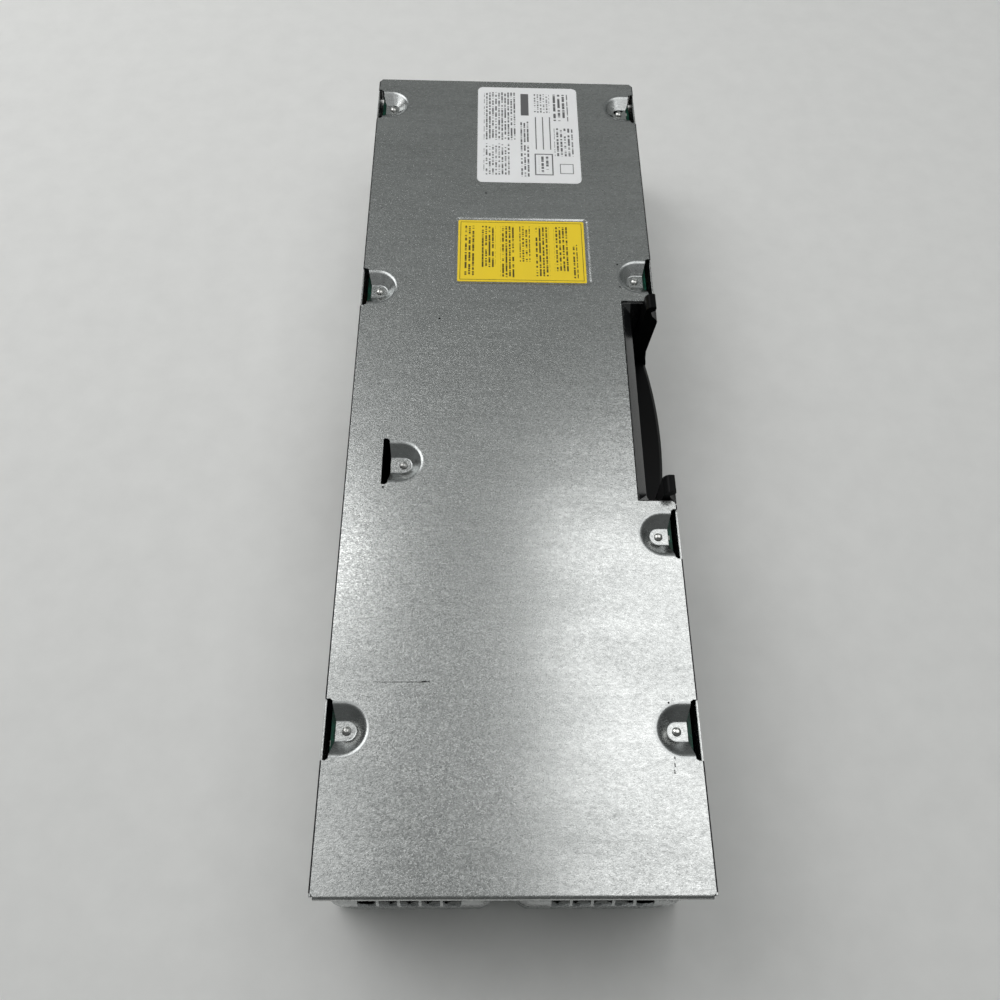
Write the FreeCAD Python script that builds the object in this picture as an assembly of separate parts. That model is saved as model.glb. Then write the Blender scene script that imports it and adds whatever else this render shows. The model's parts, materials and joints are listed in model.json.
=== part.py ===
import FreeCAD, Part
import math
import os

Vector = FreeCAD.Vector
os.makedirs("parts", exist_ok=True)

# A long flat power supply lying on its cover, with the base plate up.
# Frame: X across, Y along towards the inlet end, Z up, origin under the middle of the cover.

# Folded base and cover
plate_width = 146.0
case_length = 432.0
case_height = 73.0
base_sheet = 1.0
cover_sheet = 0.8
bend_radius = 1.6
cover_gap = 0.1
cover_drop = 1.5
flange_length = 12.0
flange_end_gap = 15.0
flange_relief = 2.0

# Stamped dimples that stand the board off the plate
dimple_depth = 4.2
dimple_rim_radius = 10.4
dimple_shoulder_radius = 9.3
dimple_shoulder_drop = 0.5
dimple_flat_radius = 4.7
dimple_shift = 1.4
dimple_sides = 10
slot_reach = 5.7
floor_reach = 4.3
slot_width = 2.8
slot_length = 23.0
screw_inset = 8.0
far_row_inset = 20.4
near_row_inset = 59.0
left_middle_row = 62.0
right_middle_row = 71.0
right_lower_row = -72.8
inner_dimple_inset = 24.7
inner_dimple_row = -38.2

# Stickers and the shallow recess of the lower one
label_thickness = 0.15
rating_width = 57.0
rating_height = 75.9
rating_x = 12.0
rating_end_gap = 4.8
rating_corner = 2.0
yellow_width = 66.0
yellow_height = 41.5
yellow_x = 7.0
yellow_y = 87.15
recess_depth = 0.4
recess_margin = 1.0
recess_spare = 2.6
recess_corner = 3.0
corner_sides = 4

# Handle pocket
handle_y = -0.9
notch_half = 56.2
notch_depth = 16.3
liner_wall = 1.6
liner_end_wall = 3.0
liner_depth = 51.0
liner_rim_drop = 0.6
liner_rim_gap = 0.4
liner_rim_flat = 0.5
bevel_width = 3.9
bevel_depth = 3.8

# Swing handle, with the latch hook at the top of each arm
arm_thickness = 8.4
arm_clearance = 0.3
pivot_inset = 2.0
pivot_drop = 5.0
pin_radius = 1.5
pin_clearance = 0.05
pin_cover = 2.0
boss_radius = 3.8
hook_rise = 7.0
hook_back_drop = 4.0
hook_back_inset = 0.3
hook_crown_back = 1.2
hook_nose_reach = 1.5
hook_nose_round = 0.9
hook_beak_drop = 2.6
hook_throat_drop = 4.2
hook_throat_back = 0.6
neck_reach = 0.5
neck_rise = 4.9
neck_turn = 0.6
waist_rise = 11.0
waist_inset = 1.2
knee_rise = 5.5
knee_inset = 0.5
grip_drop = 40.0
grip_height = 8.0
grip_bow = 4.3
grip_end_reach = 4.4
grip_bevel = 1.6

# Fans, each fitted between the two sheets, and the pressed grilles in front of them.
# What is round inside the case has flat sides, so that the model stays light.
fan_sides = 20
inner_sides = 10
fan_gap = 0.6
fan_spacing = 0.8
fan_depth = 25.0
fan_corner = 3.0
fan_wall = 2.0
fan_screw_inset = 4.25
fan_hole_radius = 2.15
hub_radius = 19.0
hub_wall = 1.5
hub_front_gap = 3.0
hub_depth = 18.0
blade_count = 7
blade_chord = 19.0
blade_pitch = 42.0
blade_camber = 2.4
blade_bends = 2
blade_thickness = 1.4
blade_tip_gap = 0.8
motor_base = 2.5
strut_width = 4.0
fan_shaft_radius = 1.5
bearing_clearance = 0.03
bearing_wall = 2.0
bearing_length = 13.0
pole_length = 13.5
pole_width = 6.0
pole_height = 8.0
dish_inset = 3.8
dish_corner = 12.0
dish_reach = 3.0
dish_shoulder_reach = 1.9
dish_shoulder_run = 2.4
dish_run = 5.2
hex_flats = 6.7
hex_pitch = 7.8
hex_row_pitch = 7.1
hex_margin = 2.6
hex_corner_cut = 10.0
vent_width = 55.0
vent_height = 15.0
vent_inset = 43.0

# Inlet and indicator in the far wall
inlet_inset = 31.0
inlet_width = 27.0
inlet_height = 19.6
inlet_depth = 22.0
inlet_flange_width = 31.0
inlet_flange_height = 24.0
inlet_flange_corner = 2.0
inlet_flange = 2.0
inlet_cavity_width = 24.4
inlet_cavity_height = 16.2
inlet_cavity_depth = 17.0
inlet_cavity_chamfer = 4.5
inlet_pin_spacing = 14.0
inlet_earth_offset = 4.0
inlet_pin_width = 2.0
inlet_pin_height = 4.0
inlet_pin_length = 15.0
inlet_tail = 8.0
light_inset = 5.0
light_radius = 1.5
light_length = 9.0
light_proud = 0.7

# Main board, its insulating film and the brackets beside it
board_thickness = 1.6
board_edge_gap = 1.9
board_near_gap = 20.0
board_far_gap = 2.0
board_cut_gap = 1.0
board_hole_radius = 2.1
insulator_thickness = 0.4
insulator_margin = 3.0
bracket_width = 14.0
bracket_leg = 10.0
bracket_sheet = 1.2
bracket_far_inset = 86.0
bracket_middle_inset = 106.0
bracket_near_inset = 37.0

# Output connector through the left wall
card_thickness = 1.6
output_y = -8.0
output_length = 84.0
output_height = 16.0
output_low = 19.0
output_reach = 5.0
output_wall = 1.6
output_back = 6.0
output_gap = 1.5
output_card_inset = 20.6
output_card_length = 92.0
output_card_foot = 4.0
contact_count = 10
contact_thickness = 1.5
contact_height = 9.0
contact_recess = 3.0

# Wound rings and cans on the board
lead_height = 2.0
lead_spread = 12.0
filter_choke_x = 47.0
filter_choke_radius = 16.0
filter_choke_hole = 8.0
filter_choke_height = 16.0
boost_choke_x = -42.0
boost_choke_radius = 21.0
boost_choke_hole = 10.0
boost_choke_height = 20.0
output_choke_x = -22.0
output_choke_radius = 18.0
output_choke_hole = 8.0
output_choke_height = 20.0
bulk_can_left_x = -42.0
bulk_can_right_x = -3.0
bulk_can_radius = 17.5
bulk_can_height = 48.0
bulk_can_bevel = 1.0
output_can_x = -45.0
output_can_pitch = 16.0
output_can_radius = 6.25
output_can_height = 25.0
output_can_bevel = 0.6
output_can_count = 5

# Blocks, coolers and cards on the board
film_x = 4.0
film_width = 32.0
film_length = 13.0
film_height = 24.0
bridge_x = -40.0
bridge_width = 30.0
bridge_length = 6.0
bridge_height = 24.0
resonant_x = -38.0
resonant_width = 26.0
resonant_length = 28.0
resonant_height = 26.0
standby_x = 42.0
standby_width = 18.0
standby_length = 20.0
standby_height = 18.0
core_x = 6.0
core_width = 48.0
core_length = 26.0
core_height = 42.0
core_limb = 17.0
core_side = 7.0
core_yoke = 8.4
winding_swell = 8.0
cooler_plate = 3.0
cooler_fin = 1.6
cooler_reach = 12.0
cooler_pitch = 6.0
primary_cooler_x = 27.0
primary_cooler_length = 56.0
primary_cooler_height = 44.0
secondary_cooler_x = 22.0
secondary_cooler_length = 60.0
secondary_cooler_height = 40.0
switch_count = 3
switch_thickness = 4.8
switch_width = 15.0
switch_height = 20.0
leg_length = 6.0
leg_thickness = 0.8
leg_width = 12.0
control_x = 44.0
control_length = 62.0
control_height = 34.0
chip_length = 18.0
chip_height = 12.0
chip_thickness = 1.2
fuse_length = 24.0
fuse_body = 6.0
fuse_cap = 7.0
fuse_cap_length = 5.0

# Screws
board_screw_radius = 1.75
board_screw_head = 3.4
board_screw_head_height = 2.2
board_screw_tip = 1.5
case_screw_radius = 1.5
case_screw_head = 2.5
case_screw_length = 3.6
fan_screw_radius = 1.75
fan_screw_head = 2.9
fan_screw_length = 8.0
thread_clearance = 0.03
screw_sides = 8

# Places that follow from the sizes above
half_width = plate_width / 2
half_length = case_length / 2
inner_length = half_length - base_sheet
plate_under = case_height - base_sheet
cover_inner = half_width + cover_gap
cover_outer = cover_inner + cover_sheet
overrun = base_sheet
middle_z = case_height / 2
board_top = plate_under - dimple_depth
board_under = board_top - board_thickness
board_half = cover_inner - board_edge_gap
fan_size = min(plate_under - cover_sheet - 2 * fan_gap, (plate_width - fan_spacing) / 2)
fan_centres = [-half_width + fan_size / 2, -half_width + fan_size * 1.5 + fan_spacing]
fan_z = (cover_sheet + plate_under) / 2
fan_front = -inner_length
fan_back = fan_front + fan_depth
fan_bore = fan_size / 2 - fan_wall
sleeve_bore = fan_shaft_radius + bearing_clearance
sleeve_radius = sleeve_bore + bearing_wall
dish_size = fan_size - 2 * dish_inset
board_near = fan_back + board_near_gap
board_far = inner_length - board_far_gap
edge_x = half_width - screw_inset
far_row = half_length - far_row_inset
near_row = -half_length + near_row_inset
inner_dimple_x = -half_width + inner_dimple_inset
bracket_rows = [half_length - bracket_far_inset, bracket_middle_inset - half_length,
                bracket_near_inset - half_length]
recess_x = yellow_x + recess_spare / 2
recess_width = yellow_width + 2 * recess_margin + recess_spare
recess_height = yellow_height + 2 * recess_margin
notch_x = half_width - notch_depth
pocket_x = notch_x + liner_rim_gap + liner_rim_flat + bevel_width
pocket_half = notch_half - liner_rim_gap - liner_rim_flat
pocket_floor = case_height - liner_depth
pivot_x = half_width - pivot_inset
pivot_z = case_height - pivot_drop
arm_outer = pocket_half - arm_clearance
arm_inner = arm_outer - arm_thickness
inlet_x = half_width - inlet_inset
light_x = half_width - light_inset
vent_x = -half_width + vent_inset
output_card_x = -half_width + output_card_inset
output_card_face = output_card_x - card_thickness
output_front = -cover_outer - output_reach

# Each dimple: screw x, screw y, and the side that its slot faces
dimples = [
    (-edge_x, far_row, -1),
    (edge_x, far_row, 1),
    (-edge_x, left_middle_row, -1),
    (edge_x, right_middle_row, 1),
    (inner_dimple_x, inner_dimple_row, -1),
    (edge_x, right_lower_row, 1),
    (-edge_x, near_row, -1),
    (edge_x, near_row, 1),
]


def box(x0, x1, y0, y1, z0, z1):
    """Box between two corners, whose X values may come in either order."""
    left, right = min(x0, x1), max(x0, x1)
    return Part.makeBox(right - left, y1 - y0, z1 - z0, Vector(left, y0, z0))


def rod(radius, start, end):
    along = end - start
    return Part.makeCylinder(radius, along.Length, start, along)


def prism(points, along):
    return flat(points).extrude(along)


def joined(shapes):
    return shapes[0].fuse(shapes[1:]).removeSplitter()


def group(shapes):
    return Part.makeCompound(shapes)


def sided(centre, across, up, radius, sides):
    """Corners of a regular outline with the first corner across."""
    corners = []
    for step in range(sides):
        turn = 2 * math.pi * step / sides
        corners.append(centre + across * (radius * math.cos(turn)) + up * (radius * math.sin(turn)))
    return corners


def rounded(centre, across, up, width, height, radius, sides=corner_sides):
    """Corners of a rectangle with round corners, or cut-off ones where they have one side each."""
    points = []
    for turn, (side_u, side_v) in enumerate(((1, 1), (-1, 1), (-1, -1), (1, -1))):
        for step in range(sides + 1):
            angle = math.pi / 2 * (turn + step / sides)
            u = side_u * (width / 2 - radius) + radius * math.cos(angle)
            v = side_v * (height / 2 - radius) + radius * math.sin(angle)
            points.append(centre + across * u + up * v)
    return points


def flat(corners):
    return Part.Face(Part.makePolygon(corners + corners[:1]))


def stacked(outlines):
    """Solid with flat sides between outlines that have as many corners each."""
    faces = [flat(outlines[0]), flat(outlines[-1])]
    for lower, upper in zip(outlines, outlines[1:]):
        turned_lower, turned_upper = lower[1:] + lower[:1], upper[1:] + upper[:1]
        faces += [flat(list(corners)) for corners in zip(lower, turned_lower, turned_upper, upper)]
    solid = Part.Solid(Part.Shell(faces))
    return solid if solid.Volume > 0 else solid.reversed()


def stud(start_radius, end_radius, start, end, sides=screw_sides):
    """Flat-sided peg or taper. Screws and their holes repeat, so they have few faces each."""
    along = end - start
    upright = abs(along.z) > abs(along.x) + abs(along.y)
    across = Vector(1, 0, 0) if upright else along.cross(Vector(0, 0, 1)).normalize()
    up = along.cross(across).normalize()
    return stacked([sided(start, across, up, start_radius, sides), sided(end, across, up, end_radius, sides)])


def rounded_plate(x, y, z, width, height, radius, thickness):
    corners = rounded(Vector(x, y, z), Vector(1, 0, 0), Vector(0, 1, 0), width, height, radius)
    return prism(corners, Vector(0, 0, thickness))


def edges_near(shape, point, direction):
    """Straight edges that lie on the line through a point along a direction."""
    close = bend_radius / 100
    found = []
    for edge in shape.Edges:
        if len(edge.Vertexes) != 2:
            continue
        offsets = []
        for vertex in edge.Vertexes:
            offset = vertex.Point - point
            offsets.append((offset - direction * offset.dot(direction)).Length)
        if max(offsets) < close:
            found.append(edge)
    return found


def hexagon_places(width, height, corner_cut):
    """Centres of the holes in a field: staggered rows inside a rectangle with its corners cut off."""
    places = []
    rows = int(height / 2 // hex_row_pitch)
    columns = int(width / 2 // hex_pitch) + 1
    for row in range(-rows, rows + 1):
        z = row * hex_row_pitch
        for column in range(-columns, columns + 1):
            x = (column + 0.5 * (row % 2)) * hex_pitch
            if abs(x) <= width / 2 and abs(x) + abs(z) <= (width + height) / 2 - corner_cut:
                places.append((x, z))
    return places


def hexagon_cutters(places, x, z, y0, y1):
    """Pointed-top hexagon prisms through a wall, one at each place round a centre."""
    corner_radius = hex_flats / math.sqrt(3)
    cutters = []
    for place_x, place_z in places:
        centre = Vector(x + place_x, y0, z + place_z)
        corners = sided(centre, Vector(0, 0, 1), Vector(1, 0, 0), corner_radius, 6)
        cutters.append(prism(corners, Vector(0, y1 - y0, 0)))
    return cutters


def draw_offset(run, rise, sheet):
    """How far a ramp's far side lies outside its near side in a sheet that is drawn down."""
    return sheet * (math.hypot(run, rise) - run) / rise


def drawn_cup(x, y, side, steps):
    """Cup with a round inner end and a straight end on its slot, from steps of radius, height and reach."""
    centre = x + side * dimple_shift
    outlines = []
    for radius, z, reach in steps:
        straight = x + side * reach
        corners = [Vector(straight, y - radius, z)]
        for step in range(dimple_sides + 1):
            turn = math.pi * step / dimple_sides
            corners.append(Vector(centre - side * radius * math.sin(turn), y - radius * math.cos(turn), z))
        corners.append(Vector(straight, y + radius, z))
        outlines.append(corners)
    return stacked(outlines)


def dimple_hollow(x, y, side):
    return drawn_cup(x, y, side, [
        (dimple_rim_radius, case_height, slot_reach),
        (dimple_shoulder_radius, case_height - dimple_shoulder_drop, slot_reach),
        (dimple_flat_radius, case_height - dimple_depth, slot_reach),
    ])


def dimple_back(x, y, side):
    """Outside of the cup. Drawing it down pulls the lanced edge of its floor back from the slot."""
    extra = draw_offset(dimple_rim_radius - dimple_flat_radius, dimple_depth, base_sheet)
    return drawn_cup(x, y, side, [
        (dimple_rim_radius + extra, plate_under, slot_reach),
        (dimple_flat_radius + extra, board_top, floor_reach),
    ])


def dimple_slot(x, y, side):
    """Slot beside a dimple. It runs out through the plate's edge where only a sliver would stay."""
    inner = x + side * slot_reach
    outer = x + side * (slot_reach + slot_width)
    if abs(outer) > half_width - slot_width:
        outer = side * (half_width + overrun)
    return box(inner, outer, y - slot_length / 2, y + slot_length / 2, board_top - overrun,
               case_height + overrun)


def dish(x, y, extra):
    """Grille bulge of one fan, drawn out of the near wall from the plane y."""
    steps = [(0, 0), (dish_shoulder_run, dish_shoulder_reach), (dish_run, dish_reach)]
    outlines = []
    for run, reach in steps:
        size = dish_size - 2 * run + 2 * extra
        radius = dish_corner - run + extra
        centre = Vector(x, y - reach, fan_z)
        outlines.append(rounded(centre, Vector(1, 0, 0), Vector(0, 0, 1), size, size, radius))
    return stacked(outlines)


def fan_screw_places(x):
    """Two screws hold each fan, on a diagonal."""
    half = fan_size / 2 - fan_screw_inset
    return [(x + side * half, fan_z + side * half) for side in (-1, 1)]


def folded_sheet():
    """Plate with two end walls bent down, and side flanges on the far wall."""
    low = cover_sheet
    pan = box(-half_width, half_width, -half_length, half_length, low, case_height)
    pan = pan.cut(box(-half_width, half_width, -inner_length, inner_length, low, plate_under))
    along_x = Vector(1, 0, 0)
    bends = []
    for end in (-half_length, half_length):
        bends += edges_near(pan, Vector(0, end, case_height), along_x)
    pan = pan.makeFillet(bend_radius, bends)
    inside_bends = []
    for end in (-inner_length, inner_length):
        inside_bends += edges_near(pan, Vector(0, end, plate_under), along_x)
    pan = pan.makeFillet(bend_radius - base_sheet, inside_bends)

    flange_low = flange_end_gap
    flange_high = case_height - flange_end_gap
    for side in (-1, 1):
        face = side * half_width
        flange = box(face, face - side * base_sheet, half_length - flange_length, half_length,
                     flange_low, flange_high)
        pan = joined([pan, flange])
        for z in (flange_low - flange_relief, flange_high):
            pan = pan.cut(box(face, face - side * flange_relief, half_length - flange_relief, half_length,
                              z, z + flange_relief))
    flange_bends = []
    for side in (-1, 1):
        for edge in edges_near(pan, Vector(side * half_width, half_length, 0), Vector(0, 0, 1)):
            if flange_low < edge.CenterOfMass.z < flange_high:
                flange_bends.append(edge)
    return pan.makeFillet(bend_radius, flange_bends)


def base_pan():
    """Folded sheet with its dimples, label recess, handle notch, grilles and openings."""
    grow = draw_offset(dish_run, dish_reach, base_sheet)
    recess_floor = case_height - recess_depth
    drawn = [dimple_back(*dimple) for dimple in dimples]
    drawn += [dish(x, -half_length, 0) for x in fan_centres]
    drawn.append(rounded_plate(recess_x, yellow_y, recess_floor - base_sheet, recess_width + base_sheet,
                               recess_height + base_sheet, recess_corner, recess_depth))
    pan = folded_sheet().fuse(drawn)

    cutters = [dimple_hollow(*dimple) for dimple in dimples]
    cutters += [dimple_slot(*dimple) for dimple in dimples]
    cutters += [dish(x, -inner_length, -grow) for x in fan_centres]
    cutters.append(rounded_plate(recess_x, yellow_y, recess_floor, recess_width, recess_height,
                                 recess_corner, recess_depth + overrun))
    cutters.append(box(notch_x, half_width + overrun, handle_y - notch_half, handle_y + notch_half,
                       plate_under - overrun, case_height + overrun))
    for x, y, side in dimples:
        hole = board_screw_radius + thread_clearance
        cutters.append(stud(hole, hole, Vector(x, y, board_top - overrun), Vector(x, y, case_height)))
    pan = pan.cut(cutters).removeSplitter()

    holes = []
    grille = hexagon_places(dish_size - 2 * hex_margin, dish_size - 2 * hex_margin, hex_corner_cut)
    for x in fan_centres:
        holes += hexagon_cutters(grille, x, fan_z, -half_length - dish_reach - overrun, fan_front + overrun)
        for screw_x, screw_z in fan_screw_places(x):
            holes.append(stud(fan_screw_head, fan_screw_radius + thread_clearance,
                              Vector(screw_x, -half_length, screw_z), Vector(screw_x, fan_front, screw_z)))
    far_y = (inner_length - overrun, half_length + overrun)
    holes += hexagon_cutters(hexagon_places(vent_width, vent_height, 0), vent_x, middle_z, *far_y)
    holes.append(box(inlet_x - inlet_width / 2, inlet_x + inlet_width / 2, *far_y,
                     middle_z - inlet_height / 2, middle_z + inlet_height / 2))
    holes.append(stud(light_radius, light_radius, Vector(light_x, far_y[0], middle_z),
                      Vector(light_x, far_y[1], middle_z)))
    hole = case_screw_radius + thread_clearance
    holes += [stud(hole, hole, start, end) for start, end in flange_screw_places()]
    return pan.cut(holes)


def bracket_places():
    return [(side, y) for y in bracket_rows for side in (-1, 1)]


def case_screw(side, y, z):
    """Start and end of one cover screw, from the cover's outer face inwards."""
    start = Vector(side * cover_outer, y, z)
    return start, start - Vector(side * case_screw_length, 0, 0)


def bracket_screw_places():
    z = plate_under - (bracket_leg + bracket_sheet) / 2
    return [case_screw(side, y, z) for side, y in bracket_places()]


def flange_screw_places():
    y = half_length - base_sheet - flange_length / 2
    return [case_screw(side, y, middle_z) for side in (-1, 1)]


def screw_neck(start, end):
    """Foot of a cover screw's countersunk head, at the cover's inner face."""
    return start + (end - start) * (cover_sheet / case_screw_length)


def cover():
    """Floor and two side walls folded from one sheet, open at both ends."""
    top = case_height - cover_drop
    shell = box(-cover_outer, cover_outer, -half_length, half_length, 0, top)
    shell = shell.cut(box(-cover_inner, cover_inner, -half_length, half_length, cover_sheet, top))
    bends = []
    for side in (-1, 1):
        bends += edges_near(shell, Vector(side * cover_outer, 0, 0), Vector(0, 1, 0))
    shell = shell.makeFillet(bend_radius, bends)
    notch = notch_half + liner_rim_gap
    cutters = [box(cover_inner - overrun, cover_outer + overrun, handle_y - notch, handle_y + notch,
                   pocket_floor - liner_wall - liner_rim_gap, top)]
    half = output_length / 2 + output_gap
    cutters.append(box(-cover_outer - overrun, -cover_inner + overrun, output_y - half, output_y + half,
                       output_low - output_gap, output_low + output_height + output_gap))
    hole = case_screw_radius + thread_clearance
    for start, end in bracket_screw_places() + flange_screw_places():
        cutters.append(stud(case_screw_head, hole, start, screw_neck(start, end)))
    return shell.cut(cutters)


def cover_brackets():
    """Angle brackets under the plate that take the cover's side screws."""
    brackets = []
    for (side, y), (start, end) in zip(bracket_places(), bracket_screw_places()):
        y0, y1 = y - bracket_width / 2, y + bracket_width / 2
        wall = side * cover_inner
        flat = box(wall, wall - side * bracket_leg, y0, y1, plate_under - bracket_sheet, plate_under)
        leg = box(wall, wall - side * bracket_sheet, y0, y1, plate_under - bracket_leg, plate_under)
        hole = case_screw_radius + thread_clearance
        brackets.append(joined([flat, leg]).cut(stud(hole, hole, start, end)))
    return group(brackets)


def cover_screws():
    screws = []
    for start, end in bracket_screw_places() + flange_screw_places():
        neck = screw_neck(start, end)
        head = stud(case_screw_head - thread_clearance, case_screw_radius, start, neck)
        screws.append(joined([head, stud(case_screw_radius, case_screw_radius, neck, end)]))
    return group(screws)


def board_screws():
    """Screws driven up through the board, with their tips showing in the dimples."""
    screws = []
    tip_z = case_height - dimple_depth + board_screw_tip
    levels = (board_under - board_screw_head_height, board_under, tip_z)
    for x, y, side in dimples:
        foot, seat, tip = [Vector(x, y, z) for z in levels]
        head = stud(board_screw_head, board_screw_head, foot, seat)
        screws.append(joined([head, stud(board_screw_radius, board_screw_radius, seat, tip)]))
    return group(screws)


def handle_liner():
    """Moulded pocket behind the handle, with a bevelled rim in the plate's notch."""
    end = pocket_half + liner_end_wall
    back = pocket_x - liner_wall
    shell = box(back, half_width, handle_y - end, handle_y + end, pocket_floor - liner_wall, plate_under)
    rim_top = case_height - liner_rim_drop
    rim_x = notch_x + liner_rim_gap
    rim_half = notch_half - liner_rim_gap
    rim_low = rim_top - bevel_depth - liner_wall
    rim = box(rim_x, half_width, handle_y - rim_half, handle_y + rim_half, rim_low, rim_top)
    shell = joined([shell, rim])
    open_side = half_width + overrun
    outlines = []
    for inset, z in ((0, rim_top), (bevel_width, rim_top - bevel_depth)):
        x = rim_x + liner_rim_flat + inset
        half = pocket_half - inset
        corners = [(x, -half), (open_side, -half), (open_side, half), (x, half)]
        outlines.append([Vector(px, handle_y + py, z) for px, py in corners])
    bevel = stacked(outlines)
    well = box(pocket_x, open_side, handle_y - pocket_half, handle_y + pocket_half, pocket_floor, rim_top)
    shell = shell.cut([bevel, well])
    bores = []
    seat = pin_radius / math.cos(math.pi / screw_sides)
    for side in (-1, 1):
        start = Vector(pivot_x, handle_y + side * pocket_half, pivot_z)
        bores.append(stud(seat, seat, start, start + Vector(0, side * liner_end_wall, 0)))
    return shell.cut(bores).removeSplitter()


def handle_pins():
    pins = []
    for side in (-1, 1):
        start = Vector(pivot_x, handle_y + side * (arm_inner + pin_cover + arm_clearance), pivot_z)
        end = Vector(pivot_x, handle_y + side * (pocket_half + liner_end_wall), pivot_z)
        pins.append(stud(pin_radius, pin_radius, start, end, inner_sides))
    return group(pins)


def arm_outline(y):
    """Side outline of one arm: latch hook at the top, pivot boss, and the leg down to the grip."""
    hook = hook_rise + pivot_drop
    grip = pivot_drop - grip_drop
    foot = grip - grip_height

    def at(u, w):
        return Vector(pivot_x + u, y, pivot_z + w)

    def boss(turn):
        return at(boss_radius * math.cos(turn), boss_radius * math.sin(turn))

    back_top = at(hook_back_inset - boss_radius, hook - hook_back_drop)
    back_round = at(2 * hook_back_inset - boss_radius + hook_back_drop / 10, hook - hook_back_drop / 3)
    crown = at(-hook_crown_back, hook)
    nose = at(hook_nose_reach - hook_nose_round, hook)
    nose_turn = hook_nose_round * math.sqrt(0.5)
    nose_round = at(hook_nose_reach - hook_nose_round + nose_turn, hook - hook_nose_round + nose_turn)
    nose_side = at(hook_nose_reach, hook - hook_nose_round)
    beak = at(hook_nose_reach, hook - hook_beak_drop)
    throat = at(-hook_throat_back, hook - hook_throat_drop)
    neck = at(neck_reach, neck_rise)
    waist = at(boss_radius - waist_inset, grip + waist_rise)
    knee = at(boss_radius - knee_inset, grip + knee_rise)
    outline = [
        Part.Arc(back_top, back_round, crown),
        Part.LineSegment(crown, nose),
        Part.Arc(nose, nose_round, nose_side),
        Part.LineSegment(nose_side, beak),
        Part.LineSegment(beak, throat),
        Part.LineSegment(throat, neck),
        Part.LineSegment(neck, boss(neck_turn)),
        Part.Arc(boss(neck_turn), boss(neck_turn / 2), boss(0)),
    ]
    leg = [boss(0), waist, knee, at(grip_end_reach, grip), at(grip_end_reach, foot), at(-boss_radius, foot),
           back_top]
    outline += [Part.LineSegment(start, end) for start, end in zip(leg, leg[1:])]
    return Part.Wire([piece.toShape() for piece in outline])


def pull_handle():
    """Swing handle: two hooked arms joined by a bowed grip, with blind bores for the pivot pins."""
    shapes = []
    for start in (handle_y - arm_outer, handle_y + arm_inner):
        shapes.append(Part.Face(arm_outline(start)).extrude(Vector(0, arm_thickness, 0)))
    low = case_height - grip_drop - grip_height
    inner_x = pivot_x - boss_radius
    end_x = pivot_x + grip_end_reach
    near, far = handle_y - arm_inner, handle_y + arm_inner
    bow = Part.Arc(Vector(end_x, far, low), Vector(end_x + grip_bow, handle_y, low), Vector(end_x, near, low))
    corners = [Vector(end_x, near, low), Vector(inner_x, near, low), Vector(inner_x, far, low),
               Vector(end_x, far, low)]
    sides = [Part.LineSegment(start, end).toShape() for start, end in zip(corners, corners[1:])]
    grip = Part.Face(Part.Wire([bow.toShape()] + sides)).extrude(Vector(0, 0, grip_height))
    bowed = [edge for edge in grip.Edges if edge.Curve.TypeId == "Part::GeomCircle"]
    shapes.append(grip.makeChamfer(grip_bevel, bowed))
    bores = []
    for side in (-1, 1):
        start, end = [Vector(pivot_x, handle_y + side * along, pivot_z)
                      for along in (arm_inner + pin_cover, arm_outer + overrun)]
        bores.append(rod(pin_radius + pin_clearance, start, end))
    return joined(shapes).cut(bores)


def along_board(share):
    """Y of a place along the main board, 0 at the fan end and 1 at the inlet end."""
    return board_near + share * (board_far - board_near)


def main_board():
    board = box(-board_half, board_half, board_near, board_far, board_under, board_top)
    levels = (board_under - overrun, board_top + overrun)
    liner_end = pocket_half + liner_end_wall + board_cut_gap
    cutters = [box(notch_x - board_cut_gap, board_half + overrun, handle_y - liner_end, handle_y + liner_end,
                   *levels)]
    half = output_card_length / 2
    cutters.append(box(-board_half - overrun, output_card_face, output_y - half, output_y + half, *levels))
    for side, y in bracket_places():
        wall = side * (board_half + overrun)
        inner = side * (cover_outer - case_screw_length - board_edge_gap)
        reach = bracket_width / 2 + board_cut_gap
        cutters.append(box(wall, inner, y - reach, y + reach, *levels))
    for x, y, side in dimples:
        start, end = [Vector(x, y, z) for z in levels]
        cutters.append(stud(board_hole_radius, board_hole_radius, start, end))
    return board.cut(cutters)


def insulator_sheet():
    """Film under the plate, between the inner dimple, the label recess and the handle pocket."""
    left = inner_dimple_x - dimple_shift + dimple_rim_radius + insulator_margin
    right = notch_x - insulator_margin
    far = yellow_y - recess_height / 2 - insulator_margin
    return box(left, right, board_near, far, plate_under - insulator_thickness, plate_under)


def fan_frame(x):
    """Square frame with a round bore, four fixing holes, and the motor base on four struts."""
    across, up = Vector(1, 0, 0), Vector(0, 0, 1)
    front, base, back = [Vector(x, y, fan_z) for y in (fan_front, fan_back - motor_base, fan_back)]
    frame = prism(rounded(front, across, up, fan_size, fan_size, fan_corner, 1), back - front)
    half = fan_size / 2 - fan_screw_inset
    cutters = [stud(fan_bore, fan_bore, front, back, fan_sides)]
    for offset in (across + up, across - up, up - across, -across - up):
        cutters.append(stud(fan_hole_radius, fan_hole_radius, front + offset * half, back + offset * half))
    parts = [frame.cut(cutters), stud(hub_radius, hub_radius, base, back, fan_sides)]
    reach = fan_bore + fan_wall / 2
    for turn in range(4):
        strut = box(x, x + reach, base.y, back.y, fan_z - strut_width / 2, fan_z + strut_width / 2)
        strut.rotate(front, Vector(0, 1, 0), 45 + 90 * turn)
        parts.append(strut)
    return joined(parts).cut(stud(sleeve_radius, sleeve_radius, base, back))


def fan_bearing(x):
    """Sleeve pressed into the motor base, with a round bore."""
    start = Vector(x, fan_back - motor_base - bearing_length, fan_z)
    end = Vector(x, fan_back, fan_z)
    return stud(sleeve_radius, sleeve_radius, start, end).cut(rod(sleeve_bore, start, end))


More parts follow.
